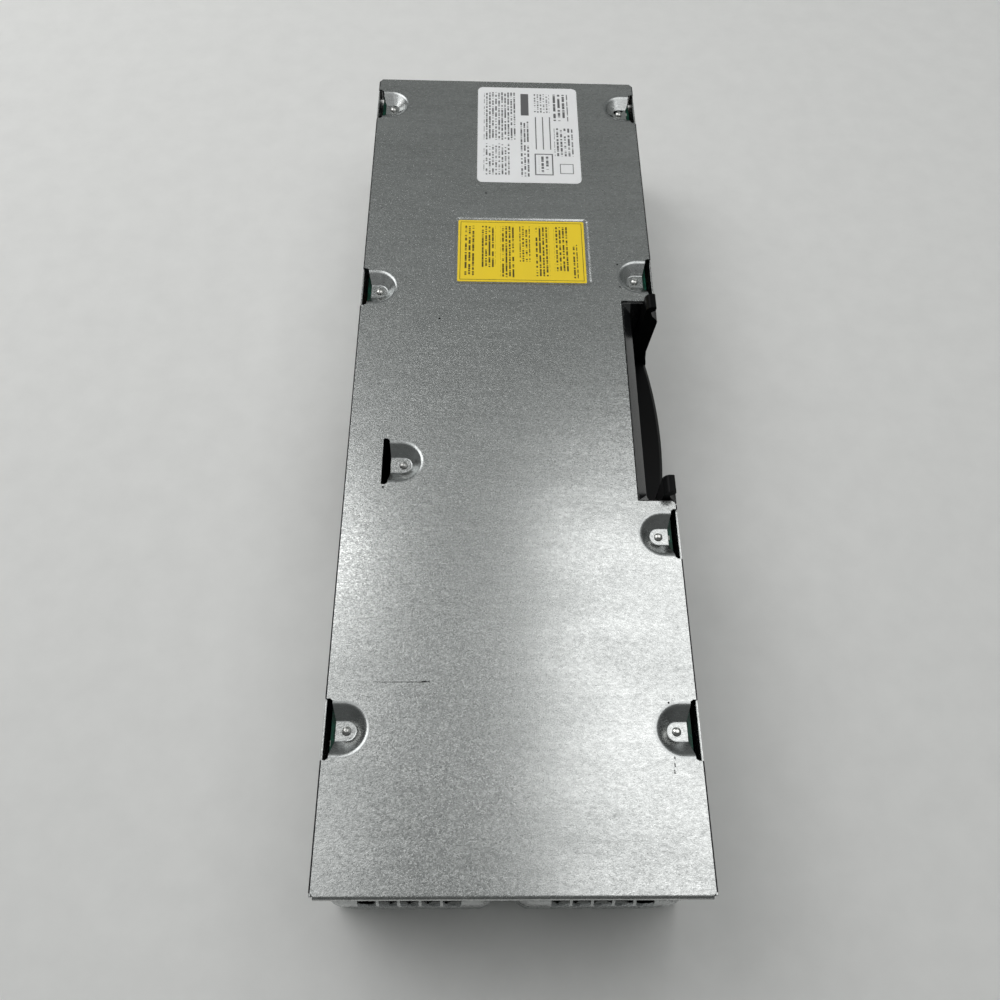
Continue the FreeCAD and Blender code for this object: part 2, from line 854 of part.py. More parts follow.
def fan_stator(x):
    """Four poles on the sleeve, in front of the motor base."""
    end = fan_back - motor_base
    start = end - pole_height
    half = pole_width / 2
    poles = [
        box(x - pole_length, x + pole_length, start, end, fan_z - half, fan_z + half),
        box(x - half, x + half, start, end, fan_z - pole_length, fan_z + pole_length),
        box(x - pole_width, x + pole_width, start, end, fan_z - pole_width, fan_z + pole_width),
    ]
    bore = stud(sleeve_radius, sleeve_radius, Vector(x, start, fan_z), Vector(x, end, fan_z))
    return joined(poles).cut(bore)


def fan_blade(x, root, tip):
    """Cambered strip that slants across the air stream, pointing up from the hub."""
    y = fan_front + hub_front_gap + hub_depth / 2
    cosine, sine = math.cos(math.radians(blade_pitch)), math.sin(math.radians(blade_pitch))
    sides = []
    for skin in (blade_thickness / 2, -blade_thickness / 2):
        side = []
        for step in range(blade_bends + 1):
            share = 2 * step / blade_bends - 1
            u = share * blade_chord / 2
            v = blade_camber * (1 - share ** 2) + skin
            side.append((u * cosine - v * sine, u * sine + v * cosine))
        sides.append(side)
    outline = sides[0] + sides[1][::-1]
    reach = max(abs(across) for across, along in outline)
    low = math.sqrt(root ** 2 - reach ** 2)
    high = math.sqrt(tip ** 2 - reach ** 2)
    corners = [Vector(x + across, y + along, fan_z + low) for across, along in outline]
    return prism(corners, Vector(0, 0, high - low))


def fan_rotor(x):
    """Hub cup with cambered blades that clear the bore of the frame."""
    hub_front = fan_front + hub_front_gap
    front, floor, rear = [Vector(x, hub_front + run, fan_z) for run in (0, hub_wall, hub_depth)]
    blade = fan_blade(x, hub_radius - hub_wall, fan_bore - blade_tip_gap)
    parts = [stud(hub_radius, hub_radius, front, rear, fan_sides)]
    for count in range(blade_count):
        turned = blade.copy()
        turned.rotate(front, Vector(0, 1, 0), 360 * count / blade_count)
        parts.append(turned)
    inside = hub_radius - hub_wall
    return joined(parts).cut(stud(inside, inside, floor, rear, fan_sides))


def fan_shaft(x):
    start = fan_front + hub_front_gap + hub_wall
    end = fan_back - motor_base
    return stud(fan_shaft_radius, fan_shaft_radius, Vector(x, start, fan_z), Vector(x, end, fan_z),
                inner_sides)


def fan_screws():
    screws = []
    for x, z in fan_screw_places(fan_centres[0]) + fan_screw_places(fan_centres[1]):
        start = Vector(x, -half_length, z)
        neck = Vector(x, fan_front, z)
        head = stud(fan_screw_head - thread_clearance, fan_screw_radius, start, neck)
        shank = stud(fan_screw_radius, fan_screw_radius, neck, neck + Vector(0, fan_screw_length, 0))
        screws.append(joined([head, shank]))
    return group(screws)


def inlet_body():
    """Three-pin appliance inlet snapped into the far wall."""
    body = box(inlet_x - inlet_width / 2, inlet_x + inlet_width / 2, half_length - inlet_depth, half_length,
               middle_z - inlet_height / 2, middle_z + inlet_height / 2)
    frame = rounded(Vector(inlet_x, half_length, middle_z), Vector(1, 0, 0), Vector(0, 0, 1),
                    inlet_flange_width, inlet_flange_height, inlet_flange_corner, 1)
    flange = prism(frame, Vector(0, inlet_flange, 0))
    wide = inlet_cavity_width / 2
    tall = inlet_cavity_height / 2
    cut = inlet_cavity_chamfer
    corners = [(-wide, -tall), (wide, -tall), (wide, tall - cut), (wide - cut, tall), (cut - wide, tall),
               (-wide, tall - cut)]
    mouth = half_length + inlet_flange
    cavity = prism([Vector(inlet_x + px, mouth, middle_z + pz) for px, pz in corners],
                   Vector(0, -inlet_cavity_depth, 0))
    return joined([body, flange]).cut([cavity] + inlet_pin_boxes())


def inlet_pin_boxes():
    floor = half_length + inlet_flange - inlet_cavity_depth
    tail = half_length - inlet_depth - inlet_tail
    spread, rise = inlet_pin_spacing / 2, inlet_earth_offset / 2
    pins = []
    for px, pz in ((-spread, -rise), (spread, -rise), (0, rise)):
        x, z = inlet_x + px, middle_z + pz
        pins.append(box(x - inlet_pin_width / 2, x + inlet_pin_width / 2, tail, floor + inlet_pin_length,
                        z - inlet_pin_height / 2, z + inlet_pin_height / 2))
    return pins


def status_light():
    """Light pipe pushed into the far wall."""
    radius = light_radius - thread_clearance
    return stud(radius, radius, Vector(light_x, half_length - light_length, middle_z),
                Vector(light_x, half_length + light_proud, middle_z))


def ring_choke(share, x, radius, hole, height):
    """Wound ring lying flat under the board on its lead block, with flats where the turns lie."""
    y = along_board(share)
    top = Vector(x, y, board_under - lead_height)
    low = top - Vector(0, 0, height)
    ring = stud(radius, radius, low, top, inner_sides).cut(stud(hole, hole, low, top, inner_sides))
    lead = box(x - lead_spread, x + lead_spread, y - lead_spread, y + lead_spread, top.z, board_under)
    return joined([ring, lead])


def can(share, x, radius, height, bevel):
    """Electrolytic can standing on the board, with a bevelled top edge."""
    across, up = Vector(1, 0, 0), Vector(0, 1, 0)
    levels = [(radius, 0), (radius, height - bevel), (radius - bevel, height)]
    return stacked([sided(Vector(x, along_board(share), board_under - drop), across, up, size, inner_sides)
                    for size, drop in levels])


def block(share, x, width, length, height):
    y = along_board(share)
    low = board_under - height
    return box(x - width / 2, x + width / 2, y - length / 2, y + length / 2, low, board_under)


def finned_bar(share, x, length, height):
    """Extruded cooler: one upright plate with fins on its right side."""
    y0, y1 = along_board(share) - length / 2, along_board(share) + length / 2
    low = board_under - height
    bar = [box(x - cooler_plate / 2, x + cooler_plate / 2, y0, y1, low, board_under)]
    for step in range(int((height - cooler_fin) // cooler_pitch) + 1):
        z = low + step * cooler_pitch
        bar.append(box(x, x + cooler_reach, y0, y1, z, z + cooler_fin))
    return joined(bar)


def switch_row(share, x, length):
    """Flat power transistors clamped along the left face of a cooler."""
    face = x - cooler_plate / 2
    leg_face = face - (switch_thickness - leg_thickness) / 2
    seat = board_under - leg_length
    switches = []
    for index in range(switch_count):
        y = along_board(share) + (index - (switch_count - 1) / 2) * length / switch_count
        body = box(face, face - switch_thickness, y - switch_width / 2, y + switch_width / 2,
                   seat - switch_height, seat)
        legs = box(leg_face, leg_face - leg_thickness, y - leg_width / 2, y + leg_width / 2,
                   seat, board_under)
        switches.append(joined([body, legs]))
    return group(switches)


def transformer_core(share):
    """Two facing E cores: a closed block with the two winding windows through it."""
    core = block(share, core_x, core_width, core_length, core_height)
    y = along_board(share)
    windows = []
    for side in (-1, 1):
        windows.append(box(core_x + side * core_limb / 2, core_x + side * (core_width / 2 - core_side),
                           y - core_length, y + core_length, board_under - core_height + core_yoke,
                           board_under - core_yoke))
    return core.cut(windows)


def transformer_winding(share):
    """Taped winding round the middle limb of the core."""
    y = along_board(share)
    low, high = board_under - core_height + core_yoke, board_under - core_yoke
    outer = core_width / 2 - core_side
    reach = core_length / 2 + winding_swell
    coil = box(core_x - outer, core_x + outer, y - reach, y + reach, low, high)
    return coil.cut(box(core_x - core_limb / 2, core_x + core_limb / 2, y - core_length / 2,
                        y + core_length / 2, low, high))


def output_housing():
    """Blind-mate plug body that reaches out through the left wall."""
    half = output_length / 2
    body = box(output_front, output_card_face, output_y - half, output_y + half,
               output_low, output_low + output_height)
    mouth = box(output_front, output_card_face - output_back,
                output_y - half + output_wall, output_y + half - output_wall,
                output_low + output_wall, output_low + output_height - output_wall)
    return body.cut([mouth] + contact_blades())


def contact_blades():
    middle = output_low + output_height / 2
    pitch = (output_length - 4 * output_wall) / contact_count
    blades = []
    for index in range(contact_count):
        y = output_y + (index - (contact_count - 1) / 2) * pitch
        blades.append(box(output_front + contact_recess, output_card_face,
                          y - contact_thickness / 2, y + contact_thickness / 2,
                          middle - contact_height / 2, middle + contact_height / 2))
    return blades


def output_card():
    """Upright card under the board's edge that carries the output plug."""
    half = output_card_length / 2
    return box(output_card_face, output_card_x, output_y - half, output_y + half,
               output_low - output_card_foot, board_under)


def control_card(share):
    """Upright card with one chip on its left face."""
    y = along_board(share)
    card = box(control_x, control_x + card_thickness, y - control_length / 2, y + control_length / 2,
               board_under - control_height, board_under)
    chip_z = board_under - control_height / 2
    chip = box(control_x, control_x - chip_thickness, y - chip_length / 2, y + chip_length / 2,
               chip_z - chip_height / 2, chip_z + chip_height / 2)
    return joined([card, chip])


def line_fuse(share):
    """Square ceramic fuse lying on the board, with an end cap on each side."""
    y = along_board(share)
    z = board_under - fuse_cap / 2
    parts = [box(-fuse_length / 2, fuse_length / 2, y - fuse_body / 2, y + fuse_body / 2,
                 z - fuse_body / 2, z + fuse_body / 2)]
    for side in (-1, 1):
        end = side * fuse_length / 2
        parts.append(box(end, end - side * fuse_cap_length, y - fuse_cap / 2, y + fuse_cap / 2,
                         board_under - fuse_cap, board_under))
    return joined(parts)


def rating_label():
    y = half_length - rating_end_gap - rating_height / 2
    return rounded_plate(rating_x, y, case_height, rating_width, rating_height, rating_corner,
                         label_thickness)


def yellow_label():
    floor = case_height - recess_depth
    return box(yellow_x - yellow_width / 2, yellow_x + yellow_width / 2, yellow_y - yellow_height / 2,
               yellow_y + yellow_height / 2, floor, floor + label_thickness)


# Shares of the board's length, from the fan end, where its parts stand
filter_choke = (filter_choke_x, filter_choke_radius, filter_choke_hole, filter_choke_height)
boost_choke = (boost_choke_x, boost_choke_radius, boost_choke_hole, boost_choke_height)
output_choke = (output_choke_x, output_choke_radius, output_choke_hole, output_choke_height)
film_block = (film_x, film_width, film_length, film_height)
bulk_can = (bulk_can_radius, bulk_can_height, bulk_can_bevel)
output_can = (output_can_radius, output_can_height, output_can_bevel)
primary_cooler = (primary_cooler_x, primary_cooler_length)
secondary_cooler = (secondary_cooler_x, secondary_cooler_length)
output_can_places = [output_can_x + output_can_pitch * step for step in range(output_can_count)]

pieces = {
    "base_pan": base_pan(),
    "cover": cover(),
    "cover_brackets": cover_brackets(),
    "cover_screws": cover_screws(),
    "board_screws": board_screws(),
    "handle_liner": handle_liner(),
    "handle_pivot_pins": handle_pins(),
    "pull_handle": pull_handle(),
    "main_board": main_board(),
    "insulator_sheet": insulator_sheet(),
    "fan_screws": fan_screws(),
    "inlet_body": inlet_body(),
    "inlet_pins": group(inlet_pin_boxes()),
    "status_light": status_light(),
    "output_housing": output_housing(),
    "output_contacts": group(contact_blades()),
    "output_card": output_card(),
    "control_card": control_card(0.14),
    "line_fuse": line_fuse(0.955),
    "filter_choke_outer": ring_choke(0.90, *filter_choke),
    "filter_choke_inner": ring_choke(0.79, *filter_choke),
    "filter_capacitors": group([block(share, *film_block) for share in (0.80, 0.87)]),
    "bridge_rectifier": block(0.90, bridge_x, bridge_width, bridge_length, bridge_height),
    "boost_choke": ring_choke(0.81, *boost_choke),
    "bulk_capacitors": group([can(0.69, x, *bulk_can) for x in (bulk_can_left_x, bulk_can_right_x)]),
    "primary_cooler": finned_bar(0.68, *primary_cooler, primary_cooler_height),
    "primary_switches": switch_row(0.68, *primary_cooler),
    "resonant_choke": block(0.595, resonant_x, resonant_width, resonant_length, resonant_height),
    "transformer_core": transformer_core(0.53),
    "transformer_winding": transformer_winding(0.53),
    "standby_transformer": block(0.56, standby_x, standby_width, standby_length, standby_height),
    "secondary_cooler": finned_bar(0.36, *secondary_cooler, secondary_cooler_height),
    "secondary_switches": switch_row(0.36, *secondary_cooler),
    "output_choke": ring_choke(0.38, *output_choke),
    "output_capacitors": group([can(0.20, x, *output_can) for x in output_can_places]),
    "rating_label": rating_label(),
    "yellow_label": yellow_label(),
}
for side, x in zip(("left", "right"), fan_centres):
    pieces["fan_frame_" + side] = fan_frame(x)
    pieces["fan_bearing_" + side] = fan_bearing(x)
    pieces["fan_stator_" + side] = fan_stator(x)
    pieces["fan_rotor_" + side] = fan_rotor(x)
    pieces["fan_shaft_" + side] = fan_shaft(x)

for name, shape in pieces.items():
    shape.exportStep("parts/" + name + ".step")
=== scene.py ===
import json
import math
import bmesh
import bpy
from mathutils import Matrix, Vector


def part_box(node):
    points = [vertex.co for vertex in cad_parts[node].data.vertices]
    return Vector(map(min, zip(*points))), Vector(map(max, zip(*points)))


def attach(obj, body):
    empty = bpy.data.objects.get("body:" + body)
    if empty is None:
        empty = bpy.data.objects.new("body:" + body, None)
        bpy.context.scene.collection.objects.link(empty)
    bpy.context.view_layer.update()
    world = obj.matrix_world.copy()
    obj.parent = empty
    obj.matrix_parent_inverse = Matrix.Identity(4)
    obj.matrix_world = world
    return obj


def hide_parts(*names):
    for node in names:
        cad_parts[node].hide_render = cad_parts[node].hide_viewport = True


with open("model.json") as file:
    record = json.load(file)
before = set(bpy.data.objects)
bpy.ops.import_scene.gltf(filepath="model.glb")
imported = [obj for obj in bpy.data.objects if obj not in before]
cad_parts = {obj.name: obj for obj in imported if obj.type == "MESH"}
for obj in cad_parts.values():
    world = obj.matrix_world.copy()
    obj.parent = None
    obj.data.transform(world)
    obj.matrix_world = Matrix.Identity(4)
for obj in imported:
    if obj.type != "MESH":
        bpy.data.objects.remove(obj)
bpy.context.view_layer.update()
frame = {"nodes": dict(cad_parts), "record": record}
scene = bpy.context.scene
scene.view_settings.view_transform = "Standard"
mm = 0.001   # lengths in the dictionaries are in mm unless a note says otherwise
up = Vector((0, 0, 1))
hair = 0.01 * mm   # closer than this is the same point
flatTurn = math.radians(0.5)   # faces that turn by less are one flat


# Small mesh helpers

def addPiece(name, bm, finish, body="case", replaced=(), sharpAngle=35):
    mesh = bpy.data.meshes.new(name)
    bm.to_mesh(mesh)
    bm.free()
    mesh.shade_smooth()
    mesh.set_sharp_from_angle(angle=math.radians(sharpAngle))
    mesh.materials.append(finish)
    piece = bpy.data.objects.new(name, mesh)
    scene.collection.objects.link(piece)
    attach(piece, body)
    if replaced:
        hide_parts(*replaced)
    return piece


def roundEdges(piece, width, segments=2, angle=40):
    bevel = piece.modifiers.new("roundedEdges", "BEVEL")
    bevel.width = width * mm
    bevel.segments = segments
    bevel.limit_method = "ANGLE"
    bevel.angle_limit = math.radians(angle)
    normals = piece.modifiers.new("evenNormals", "WEIGHTED_NORMAL")
    normals.keep_sharp = True


def thicken(piece, thickness, sharpAngle=35):
    # gives a skin its wall, inwards from the skin, and marks the new sharp edges
    wall = piece.modifiers.new("sheetWall", "SOLIDIFY")
    wall.thickness = thickness * mm
    wall.offset = -1
    wall.use_even_offset = True
    depsgraph = bpy.context.evaluated_depsgraph_get()
    walled = bpy.data.meshes.new_from_object(piece.evaluated_get(depsgraph))
    walled.name = piece.name
    piece.modifiers.clear()
    piece.data = walled
    walled.set_sharp_from_angle(angle=math.radians(sharpAngle))


def cadCopy(*nodes):
    # the nodes' own mesh, with its loose triangles merged and its flats made whole
    bm = bmesh.new()
    for node in nodes:
        bm.from_mesh(frame["nodes"][node].data)
    bmesh.ops.remove_doubles(bm, verts=bm.verts, dist=hair / 4)
    bmesh.ops.dissolve_limit(bm, angle_limit=flatTurn, verts=bm.verts, edges=bm.edges)
    return bm


def islandBoxes(node):
    # lowest and highest corner of each loose solid of a node
    bm = cadCopy(node)
    left = set(bm.verts)
    boxes = []
    while left:
        island, edge = set(), [left.pop()]
        while edge:
            vert = edge.pop()
            island.add(vert)
            near = {other.other_vert(vert) for other in vert.link_edges} & left
            left -= near
            edge += near
        low = Vector([min(vert.co[axis] for vert in island) for axis in range(3)])
        high = Vector([max(vert.co[axis] for vert in island) for axis in range(3)])
        boxes.append((low, high))
    bm.free()
    return sorted(boxes, key=lambda corners: (round(corners[0].y, 4), round(corners[0].x, 4)))


def rounded(points, radii, steps=5, closed=False):
    # points of a flat path with its corners rounded, each to its own radius
    path = []
    for place, (point, radius) in enumerate(zip(points, radii)):
        if radius == 0 or (not closed and place in (0, len(points) - 1)):
            path.append(Vector(point))
            continue
        here = Vector(point)
        before = (Vector(points[place - 1]) - here).normalized()
        after = (Vector(points[(place + 1) % len(points)]) - here).normalized()
        half = before.angle(after) / 2
        centre = here + (before + after).normalized() * (radius / math.sin(half))
        first = here + before * (radius / math.tan(half)) - centre
        last = here + after * (radius / math.tan(half)) - centre
        turn = first.angle(last)
        for step in range(steps + 1):
            share = step / steps
            mix = first * math.sin((1 - share) * turn) + last * math.sin(share * turn)
            path.append(centre + mix / math.sin(turn))
    return path


def chain(bm, verts, closed=False):
    pairs = list(zip(verts, verts[1:]))
    if closed:
        pairs.append((verts[-1], verts[0]))
    return [bm.edges.get(pair) or bm.edges.new(pair) for pair in pairs]


def ring(bm, radius, place, segments=24, axis=up):
    turned = Matrix.Translation(place) @ up.rotation_difference(axis).to_matrix().to_4x4()
    made = bmesh.ops.create_circle(bm, cap_ends=False, segments=segments, radius=radius, matrix=turned)
    return list({edge for vert in made["verts"] for edge in vert.link_edges})


def turnedSolid(bm, profile, place, axis=up, steps=28):
    # spins a profile of (radius, height) points round an axis through a place
    across = axis.orthogonal().normalized()
    verts = [bm.verts.new(place + (across * radius + axis * height) * mm) for radius, height in profile]
    edges = chain(bm, verts)
    bmesh.ops.spin(bm, geom=verts + edges, cent=place, axis=axis, dvec=(0, 0, 0), angle=2 * math.pi,
                   steps=steps, use_merge=True, use_duplicate=False)


def tidy(bm):
    bmesh.ops.remove_doubles(bm, verts=bm.verts, dist=hair)
    bmesh.ops.recalc_face_normals(bm, faces=bm.faces)


# Node helpers

def addNode(tree, kind, values=None, **settings):
    node = tree.nodes.new("ShaderNode" + kind)
    for key, value in settings.items():
        setattr(node, key, value)
    for key, value in (values or {}).items():
        if isinstance(value, bpy.types.NodeSocket):
            tree.links.new(value, node.inputs[key])
        else:
            node.inputs[key].default_value = value
    return node


def maths(tree, operation, *values):
    return addNode(tree, "Math", dict(enumerate(values)), operation=operation).outputs[0]


def vectorMaths(tree, operation, first, second, output=0):
    return addNode(tree, "VectorMath", {0: first, 1: second}, operation=operation).outputs[output]


def mapped(tree, value, low, high, newLow, newHigh):
    return addNode(tree, "MapRange", {0: value, 1: low, 2: high, 3: newLow, 4: newHigh}).outputs[0]


def mixed(tree, factor, first, second, kind="MIX"):
    values = {0: factor, 6: first, 7: second}
    return addNode(tree, "Mix", values, data_type="RGBA", blend_type=kind).outputs[2]


def objectPlace(tree, location=(0, 0, 0), scale=(1, 1, 1)):
    place = addNode(tree, "TexCoord").outputs["Object"]
    return addNode(tree, "Mapping", {"Vector": place, "Location": location, "Scale": scale}).outputs[0]


def noise(tree, vector, scale, detail=3.0, roughness=0.6):
    values = {"Vector": vector, "Scale": scale, "Detail": detail, "Roughness": roughness}
    return addNode(tree, "TexNoise", values).outputs["Fac"]


def newGroup(name, inputs, outputs):
    group = bpy.data.node_groups.new(name, "ShaderNodeTree")
    for label, kind, value in inputs:
        socket = group.interface.new_socket(label, in_out="INPUT", socket_type="NodeSocket" + kind)
        socket.default_value = value
    for label, kind in outputs:
        group.interface.new_socket(label, in_out="OUTPUT", socket_type="NodeSocket" + kind)
    start = group.nodes.new("NodeGroupInput")
    end = group.nodes.new("NodeGroupOutput")
    return group, start.outputs, end.inputs


def useGroup(tree, group, values):
    return addNode(tree, "Group", values, node_tree=group).outputs


def newFinish(name, metallic=0.0, bump=0.0, **plain):
    # a material with its Principled shader; bump is the height of the relief in mm
    finish = bpy.data.materials.new(name)
    finish.use_nodes = True
    tree = finish.node_tree
    shader = tree.nodes["Principled BSDF"]
    shader.inputs["Metallic"].default_value = metallic
    for key, value in plain.items():
        shader.inputs[key.replace("_", " ")].default_value = value
    relief = None
    if bump:
        relief = addNode(tree, "Bump", {"Strength": 1.0, "Distance": bump * mm})
        tree.links.new(relief.outputs[0], shader.inputs["Normal"])
    return finish, tree, shader, relief


def feed(tree, shader, relief, colour, roughness, height=None):
    tree.links.new(colour, shader.inputs["Base Color"])
    tree.links.new(roughness, shader.inputs["Roughness"])
    if relief and height:
        tree.links.new(height, relief.inputs["Height"])


def grey(level):
    return (level, level, level, 1.0)


# Shared effects: sizes of noise are per metre unless a note says otherwise, spread is the range in use

zinc = {"stretch": 0.55, "coarse": 0.25, "cloudStretch": 0.4, "clouds": 42.0, "streakStretch": 0.1,
        "streaks": 420.0, "flakeTone": (0.1, 0.4), "shares": (0.2, 0.2, 0.1), "spread": (0.3, 0.7),
        "sumSpread": (0.7, 1.3), "dullClouds": 0.4, "dullFlakes": 0.6}
mould = {"slow": 60.0, "spread": (0.3, 0.7)}
bars = {"halfRow": 0.26, "rowShift": 7.3}   # share of a row's pitch, and the noise's step from row to row
windings = {"wander": 0.8, "wanderSize": 0.12}   # in mm, and per mm


def makeSpangle():
    # zinc coat: fine flakes, each with its own tone and tilt, under soft clouds and streaks along the rolling
    inputs = [("Light", "Color", grey(0.7)), ("Dark", "Color", grey(0.4)), ("Flakes", "Float", 1700.0),
              ("Gloss low", "Float", 0.2), ("Gloss high", "Float", 0.3)]
    outputs = [("Colour", "Color"), ("Roughness", "Float"), ("Height", "Float")]
    group, given, result = newGroup("zincSpangle", inputs, outputs)
    rolled = objectPlace(group, scale=(zinc["stretch"], 1.0, 1.0))
    cloudPlace = objectPlace(group, scale=(zinc["cloudStretch"], 1.0, 1.0))
    streakPlace = objectPlace(group, scale=(zinc["streakStretch"], 1.0, 1.0))
    flake = addNode(group, "TexVoronoi", {"Vector": rolled, "Scale": given["Flakes"]}).outputs
    chance = addNode(group, "SeparateColor", {0: flake["Color"]}).outputs
    coarse = noise(group, rolled, maths(group, "MULTIPLY", given["Flakes"], zinc["coarse"]), 3.0, 0.65)
    clouds = noise(group, cloudPlace, zinc["clouds"], 4.0, 0.6)
    streaks = noise(group, streakPlace, zinc["streaks"], 3.0, 0.6)
    tone = mapped(group, chance[0], 0.0, 1.0, *zinc["flakeTone"])
    for layer, share in zip((coarse, clouds, streaks), zinc["shares"]):
        tone = maths(group, "ADD", tone, mapped(group, layer, *zinc["spread"], 0.0, share))
    dull = mapped(group, maths(group, "ADD", coarse, clouds), *zinc["sumSpread"], zinc["dullClouds"], 0.0)
    dull = maths(group, "ADD", dull, maths(group, "MULTIPLY", chance[1], zinc["dullFlakes"]))
    gloss = mapped(group, dull, 0.0, 1.0, given["Gloss low"], given["Gloss high"])
    offset = vectorMaths(group, "SUBTRACT", rolled, flake["Position"])
    lean = vectorMaths(group, "SUBTRACT", flake["Color"], (0.5, 0.5, 0.5))
    facet = vectorMaths(group, "DOT_PRODUCT", offset, lean, "Value")
    group.links.new(mixed(group, tone, given["Dark"], given["Light"]), result["Colour"])
    group.links.new(gloss, result["Roughness"])
    group.links.new(maths(group, "DIVIDE", facet, mm), result["Height"])
    return group


def makeGrain():
    # moulded or coated skin: a fine grain over slow changes of tone
    inputs = [("Light", "Color", grey(0.5)), ("Dark", "Color", grey(0.4)), ("Scale", "Float", 1500.0),
              ("Gloss low", "Float", 0.45), ("Gloss high", "Float", 0.6)]
    outputs = [("Colour", "Color"), ("Roughness", "Float"), ("Height", "Float")]
    group, given, result = newGroup("mouldGrain", inputs, outputs)
    place = objectPlace(group)
    fine = noise(group, place, given["Scale"], 2.0, 0.55)
    slow = noise(group, place, mould["slow"], 3.0, 0.55)
    colour = mixed(group, mapped(group, slow, *mould["spread"], 0.0, 1.0), given["Dark"], given["Light"])
    sheen = mapped(group, slow, *mould["spread"], given["Gloss high"], given["Gloss low"])
    group.links.new(colour, result["Colour"])
    group.links.new(sheen, result["Roughness"])
    group.links.new(fine, result["Height"])
    return group


def makeBox():
    # 1 inside a flat rectangle, 0 outside it
    inputs = [("Place", "Vector", (0, 0, 0)), ("Middle X", "Float", 0.0), ("Middle Y", "Float", 0.0),
              ("Half X", "Float", 1.0), ("Half Y", "Float", 1.0)]
    group, given, result = newGroup("printBox", inputs, [("Mask", "Float")])
    axes = addNode(group, "SeparateXYZ", {0: given["Place"]}).outputs
    inside = []
    for axis, name in enumerate(("X", "Y")):
        offset = maths(group, "ABSOLUTE", maths(group, "SUBTRACT", axes[axis], given["Middle " + name]))
        inside.append(maths(group, "LESS_THAN", offset, given["Half " + name]))
    group.links.new(maths(group, "MULTIPLY", *inside), result["Mask"])
    return group


def makeRows():
    # plain bars in rows along Y, broken at uneven places, as print looks from a step away
    inputs = [("Place", "Vector", (0, 0, 0)), ("Row", "Float", 1.5), ("Bar", "Float", 2.0),
              ("Fill", "Float", 0.5)]
    group, given, result = newGroup("printRows", inputs, [("Mask", "Float")])
    axes = addNode(group, "SeparateXYZ", {0: given["Place"]}).outputs
    across = maths(group, "DIVIDE", axes[0], given["Row"])
    along = maths(group, "DIVIDE", axes[1], given["Bar"])
    row = maths(group, "FLOOR", across)
    offset = maths(group, "SUBTRACT", maths(group, "FRACT", across), 0.5)
    inRow = maths(group, "LESS_THAN", maths(group, "ABSOLUTE", offset), bars["halfRow"])
    shifted = maths(group, "MULTIPLY", row, bars["rowShift"])
    cell = addNode(group, "CombineXYZ", {0: shifted, 1: along}).outputs[0]
    inBar = maths(group, "LESS_THAN", noise(group, cell, 1.0, 2.0, 0.7), given["Fill"])
    group.links.new(maths(group, "MULTIPLY", inRow, inBar), result["Mask"])
    return group


def makeTurns():
    # wire or tape laid turn by turn: a ridge for each turn, with a slightly uneven pitch, and painted shade
    # in the grooves between turns
    inputs = [("Light", "Color", grey(0.5)), ("Dark", "Color", grey(0.2)), ("Pitch", "Float", 0.8)]
    outputs = [("Colour", "Color"), ("Height", "Float")]
    group, given, result = newGroup("wireTurns", inputs, outputs)
    place = objectPlace(group, scale=(1 / mm, 1 / mm, 1 / mm))
    axes = addNode(group, "SeparateXYZ", {0: place}).outputs
    uneven = noise(group, place, windings["wanderSize"], 2.0, 0.5)
    wander = mapped(group, uneven, 0.0, 1.0, -windings["wander"], windings["wander"])
    along = maths(group, "ADD", maths(group, "ADD", axes[0], axes[1]), wander)
    turn = maths(group, "SUBTRACT", maths(group, "FRACT", maths(group, "DIVIDE", along, given["Pitch"])), 0.5)
    # half a circle over each turn, in shares of the pitch
    ridge = maths(group, "SQRT", maths(group, "SUBTRACT", 0.25, maths(group, "MULTIPLY", turn, turn)))
    # the colour darkens from the crown into the grooves: painted shade between the turns
    crown = mapped(group, ridge, 0.0, 0.5, 0.0, 1.0)
    group.links.new(mixed(group, crown, given["Dark"], given["Light"]), result["Colour"])
    group.links.new(ridge, result["Height"])
    return group


spangle = makeSpangle()
grain = makeGrain()
wireTurns = makeTurns()
printBox = makeBox()
printRows = makeRows()
print("shared effects:", len(bpy.data.node_groups))


# Finishes: relief in mm, flakes per metre, gloss from the smoothest to the dullest roughness

steel = {"light": (0.80, 0.815, 0.805, 1), "dark": (0.28, 0.288, 0.284, 1), "flakes": 2700.0,
         "relief": 0.065, "gloss": (0.13, 0.34)}
# drawing smooths the coat of the dimples and grilles, and their darker tone is painted shade
drawnShadedSteel = {"light": (0.54, 0.555, 0.552, 1), "dark": (0.38, 0.392, 0.39, 1), "flakes": 1500.0,
              "relief": 0.01, "gloss": (0.22, 0.34)}
plateMarks = {   # small dents and scuffs, fainter in patches, whose size is per mm
    "tone": 0.02, "patches": 0.9, "patchSpread": (0.3, 0.45), "faint": 0.35,
    "dots": [(-11.6, 127.3, 0.5), (-34.1, 42.4, 0.5), (56.2, 78.9, 0.5), (56.6, 64.1, 0.45),
             (-56.5, -51.4, 0.5), (61.9, -146.5, 0.45)],
    "strokes": [(-43.7, -138.6, 11.0, 0.14), (-34.6, -138.4, 1.6, 0.3), (62.4, -167.4, 0.22, 0.9),
                (62.2, -170.4, 0.22, 0.7), (61.9, -172.9, 0.22, 0.8)],
}


def boxMask(tree, place, left, right, low, high):
    middle = {"Middle X": (left + right) / 2, "Middle Y": (low + high) / 2}
    half = {"Half X": (right - left) / 2, "Half Y": (high - low) / 2}
    return useGroup(tree, printBox, {"Place": place, **middle, **half})["Mask"]


def joinMasks(tree, masks):
    whole = masks[0]
    for mask in masks[1:]:
        whole = maths(tree, "MAXIMUM", whole, mask)
    return whole


